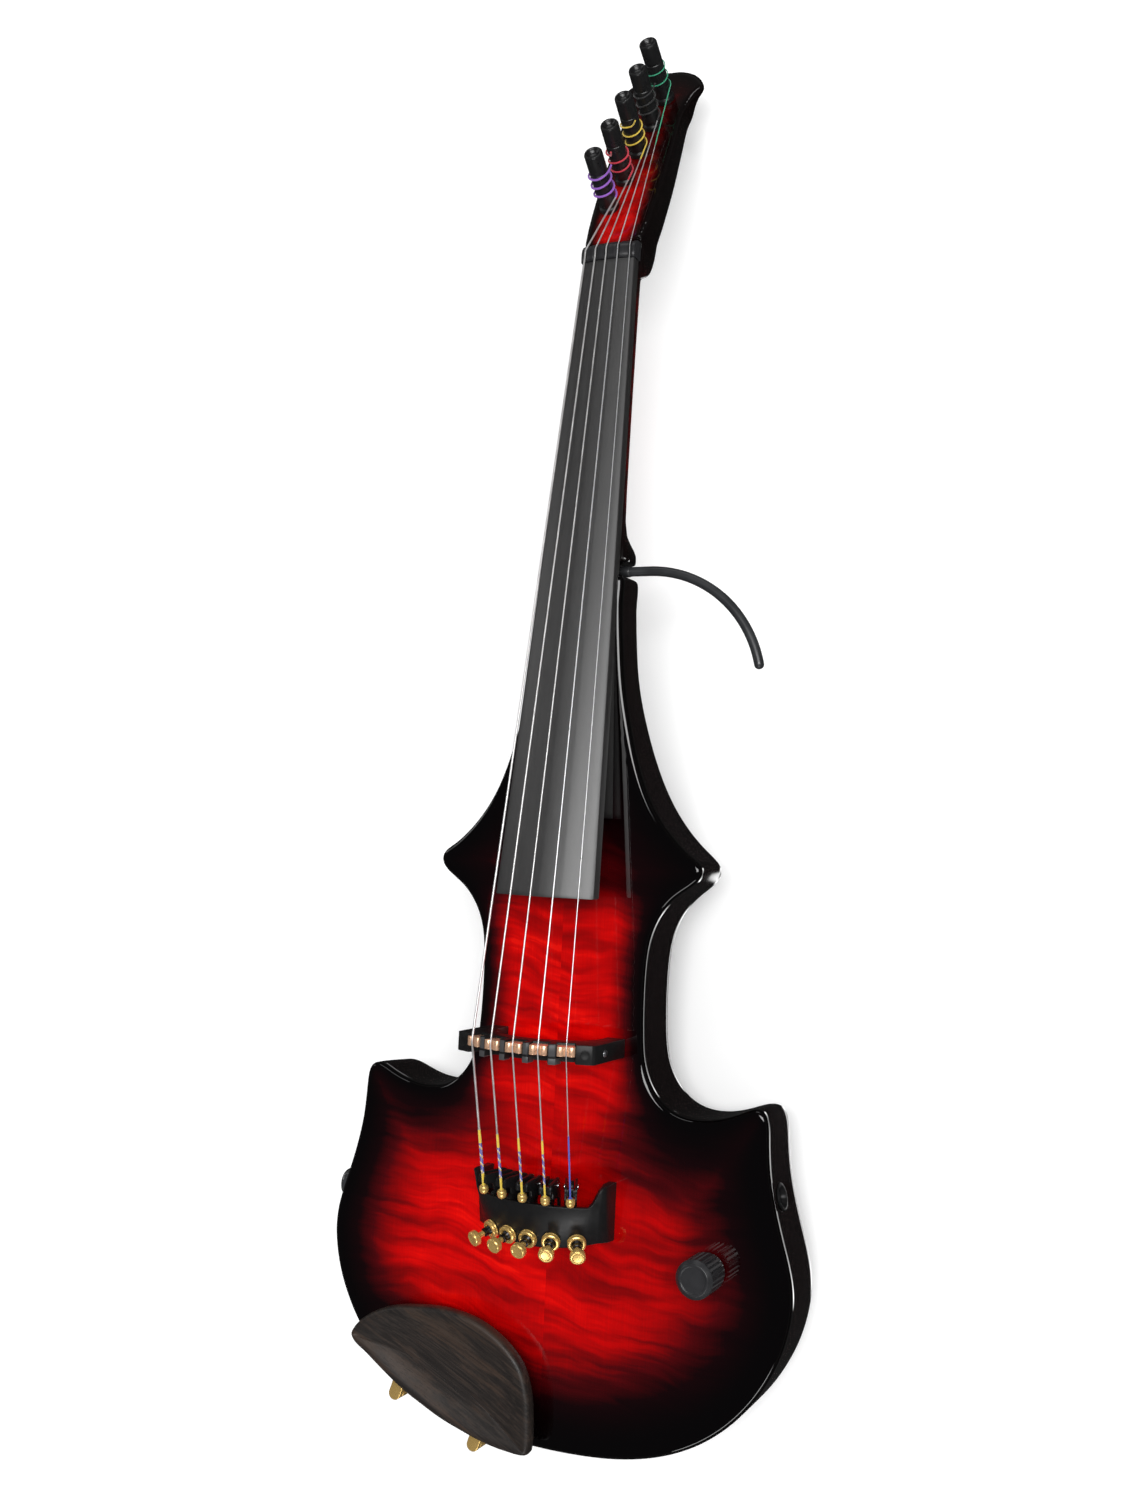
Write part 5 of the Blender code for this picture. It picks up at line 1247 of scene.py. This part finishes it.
FOOT = foot_end(0) + [(2.7, -7), (span - 2.7, -7)] + foot_end(span) + [(span + 2.7, -17), (-2.7, -17)]
studs_up, studs_low = [], []
for p in (A, B):
    studs_up.append(moved(turned(rounded_profile([(0, -9), (1.5, -9), (1.5, 2.0), (0, 2.0)], 0.1), 32), axes(p, (0, 0, 1))))
    studs_low.append(moved(turned(rounded_profile([(0, -36.0), (1.5, -36.0), (1.5, -19), (0, -19)], 0.1), 32), axes(p, (0, 0, 1))))
add("chinrest_clamp_upper_fine", merged(prism(on_clamp(FOOT), 0.6, 3.2), *studs_up), "gold", nodes=["chinrest_clamp_upper"], bevel=0.35, segments=3, bevel_angle=50)
add("chinrest_clamp_lower_fine", merged(prism(on_clamp(FOOT), -36.6, -34.4), *studs_low), "gold", body="clamp_foot", nodes=["chinrest_clamp_lower"], bevel=0.35, segments=3, bevel_angle=50)
for k, p in enumerate((A, B)):
    bp = rounded_profile([(1.8, -28), (2.45, -28), (2.7, -27.4), (2.7, -22.5), (2.45, -22.0), (2.45, -17.5), (2.75, -17.0), (2.75, -11.5), (2.45, -11.0), (2.45, -6.2), (2.7, -5.7), (2.7, -0.8), (2.45, -0.2), (1.8, -0.2)], 0.2)

    def grip(a, r, z):
        return r - (0.14 * max(0.0, math.cos(a * 18)) if r > 2.6 and not -18 < z < -10 else 0)

    add(f"chinrest_barrel_{k + 1}_fine", turned(bp, 108, grip), "gold", body=f"clamp_barrel_{k + 1}", nodes=[f"chinrest_barrel_{k + 1}"], place=axes(p, (0, 0, 1)), angle=50)
    # A dark plug through the barrel is painted shade for the inside of its eye.
    eye_shade = turned([(0, -2.6), (0.95, -2.6), (0.95, 2.78), (0.7, 2.84), (0, 2.84)], 24)
    add(f"chinrest_barrel_{k + 1}_eye_painted_shade", moved(eye_shade, axes((0, 0, 0), (0, 0, 1))), "dark", body=f"clamp_barrel_{k + 1}", place=axes((p.x, p.y, -14.2), (-0.5, -0.86, 0), (0, 0, 1)))

# ------------------------------------------------------------------ shoulder rod
ROD_Y, ROD_Z, ROD_R, ROD_CENTRE, ROD_BEND = 190.6, -10.0, 2.0, (27.0, 140.6), 50.0
path = [(7.0, ROD_Y, ROD_Z), (14.2, ROD_Y, ROD_Z), (14.4, ROD_Y, ROD_Z), (14.9, ROD_Y, ROD_Z), (18.1, ROD_Y, ROD_Z), (18.5, ROD_Y, ROD_Z), (18.6, ROD_Y, ROD_Z), (22.5, ROD_Y, ROD_Z)]
radii = [ROD_R, ROD_R, 2.15, 2.25, 2.25, 2.15, ROD_R, ROD_R]
for k in range(60):
    a = math.radians(90 - 76.0 * k / 59)
    path.append((ROD_CENTRE[0] + ROD_BEND * math.cos(a), ROD_CENTRE[1] + ROD_BEND * math.sin(a), ROD_Z))
    radii.append(ROD_R)
for ang, rr in ((76.9, ROD_R), (77.6, 1.93), (78.2, 1.72), (78.7, 1.36), (79.05, 0.88), (79.18, 0.45), (79.2, 0.05)):
    a = math.radians(90 - ang)
    path.append((ROD_CENTRE[0] + ROD_BEND * math.cos(a), ROD_CENTRE[1] + ROD_BEND * math.sin(a), ROD_Z))
    radii.append(rr)
add("shoulder_rod_fine", tube_data(path, radii, 28), "rod", nodes=["shoulder_rod"], angle=50)

# ------------------------------------------------------------------ hidden pieces that keep their CAD shape
for node, key in (("potentiometer", "steel"), ("pot_shaft", "steel"), ("wire_pickup", "pvc"), ("wire_output", "pvc")):
    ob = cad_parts[node]
    ob.data.materials.clear()
    ob.data.materials.append(M[key])

# ------------------------------------------------------------------ floor, light and camera
floor_mat = Mat("floor_paper", rough=0.8, colour=(0.9, 0.9, 0.9), Specular_IOR_Level=0.1, Emission_Color=(1.0, 1.0, 1.0, 1.0), Emission_Strength=0.16)
tc = floor_mat.node("ShaderNodeTexCoord").outputs["Object"]
floor_mat.set(Base_Color=floor_mat.ramp(floor_mat.noise(tc, 3.0, 3), [(0.3, (0.90, 0.90, 0.90)), (0.7, (0.93, 0.93, 0.93))]))
bpy.ops.mesh.primitive_plane_add(size=12, location=(0, 0, -0.0006))
floor = bpy.context.object
floor.name = "floor"
floor.data.materials.append(floor_mat.m)
floor.visible_glossy = False

# The room: pale and even for the light it gives, dark with a low bright rim where gloss mirrors it, as in a tent with black flags.
world = bpy.data.worlds.new("studio")
bpy.context.scene.world = world
world.use_nodes = True
wt = world.node_tree
bg = wt.nodes["Background"]
path_node = wt.nodes.new("ShaderNodeLightPath")
coord = wt.nodes.new("ShaderNodeTexCoord")
split = wt.nodes.new("ShaderNodeSeparateXYZ")
wt.links.new(coord.outputs["Generated"], split.inputs[0])
ring = wt.nodes.new("ShaderNodeValToRGB")
half_z = wt.nodes.new("ShaderNodeMath")
half_z.operation = "MULTIPLY_ADD"
half_z.inputs[1].default_value = 0.5
half_z.inputs[2].default_value = 0.5
wt.links.new(split.outputs[2], half_z.inputs[0])
wt.links.new(half_z.outputs[0], ring.inputs["Fac"])
e = ring.color_ramp.elements
e[0].position, e[0].color = 0.0, (0.02, 0.02, 0.02, 1)
e[1].position, e[1].color = 1.0, (0.05, 0.05, 0.055, 1)
for pos, val in ((0.003, 0.02), (0.005, 4.0), (0.009, 4.0), (0.011, 0.02), (0.48, 0.03), (0.53, 0.16), (0.62, 0.05)):
    x = e.new(pos)
    x.color = (val, val, val, 1)
mixer = wt.nodes.new("ShaderNodeMix")
mixer.data_type = "RGBA"
wt.links.new(path_node.outputs["Is Glossy Ray"], mixer.inputs[0])
mixer.inputs[6].default_value = (0.60, 0.60, 0.60, 1)
wt.links.new(ring.outputs["Color"], mixer.inputs[7])
wt.links.new(mixer.outputs[2], bg.inputs["Color"])
bg.inputs["Strength"].default_value = 1.0


def area(name, at, look, size, power, colour=(1, 1, 1)):
    d = bpy.data.lights.new(name, "AREA")
    d.shape = "RECTANGLE"
    d.size, d.size_y = size
    d.energy = power
    d.color = colour
    ob = bpy.data.objects.new(name, d)
    bpy.context.scene.collection.objects.link(ob)
    ob.location = at
    ob.rotation_euler = (Vector(look) - Vector(at)).to_track_quat("-Z", "Y").to_euler()
    return ob


area("key", (0.58, 0.10, 1.55), (0, 0, 0), (0.50, 1.3), 19)
area("left", (-1.40, 0.45, 0.75), (0, 0, 0), (0.20, 1.0), 1.5)
area("tail", (0.35, -1.45, 0.85), (0, -0.05, 0), (1.0, 0.22), 6)
area("head", (-0.1, 1.65, 0.9), (0, 0.1, 0), (1.0, 0.22), 2.5)

scene = bpy.context.scene
scene.view_settings.view_transform = "Standard"
scene.view_settings.look = "None"
cam_data = bpy.data.cameras.new("camera")
cam = bpy.data.objects.new("camera", cam_data)
scene.collection.objects.link(cam)
cam_data.sensor_fit = "AUTO"
cam_data.sensor_width = 36.0
cam_data.lens = 1543.97 * 36.0 / 1500.0
cam_data.clip_start, cam_data.clip_end = 0.01, 50
CAM = Matrix(((0.899115, -0.018660, 0.437315), (0.048226, 0.997232, -0.056600), (-0.435048, 0.071980, 0.897526)))
cam.matrix_world = Matrix.Translation(W((273.385, 79.805, 569.266))) @ (R3 @ CAM).to_4x4()
scene.camera = cam
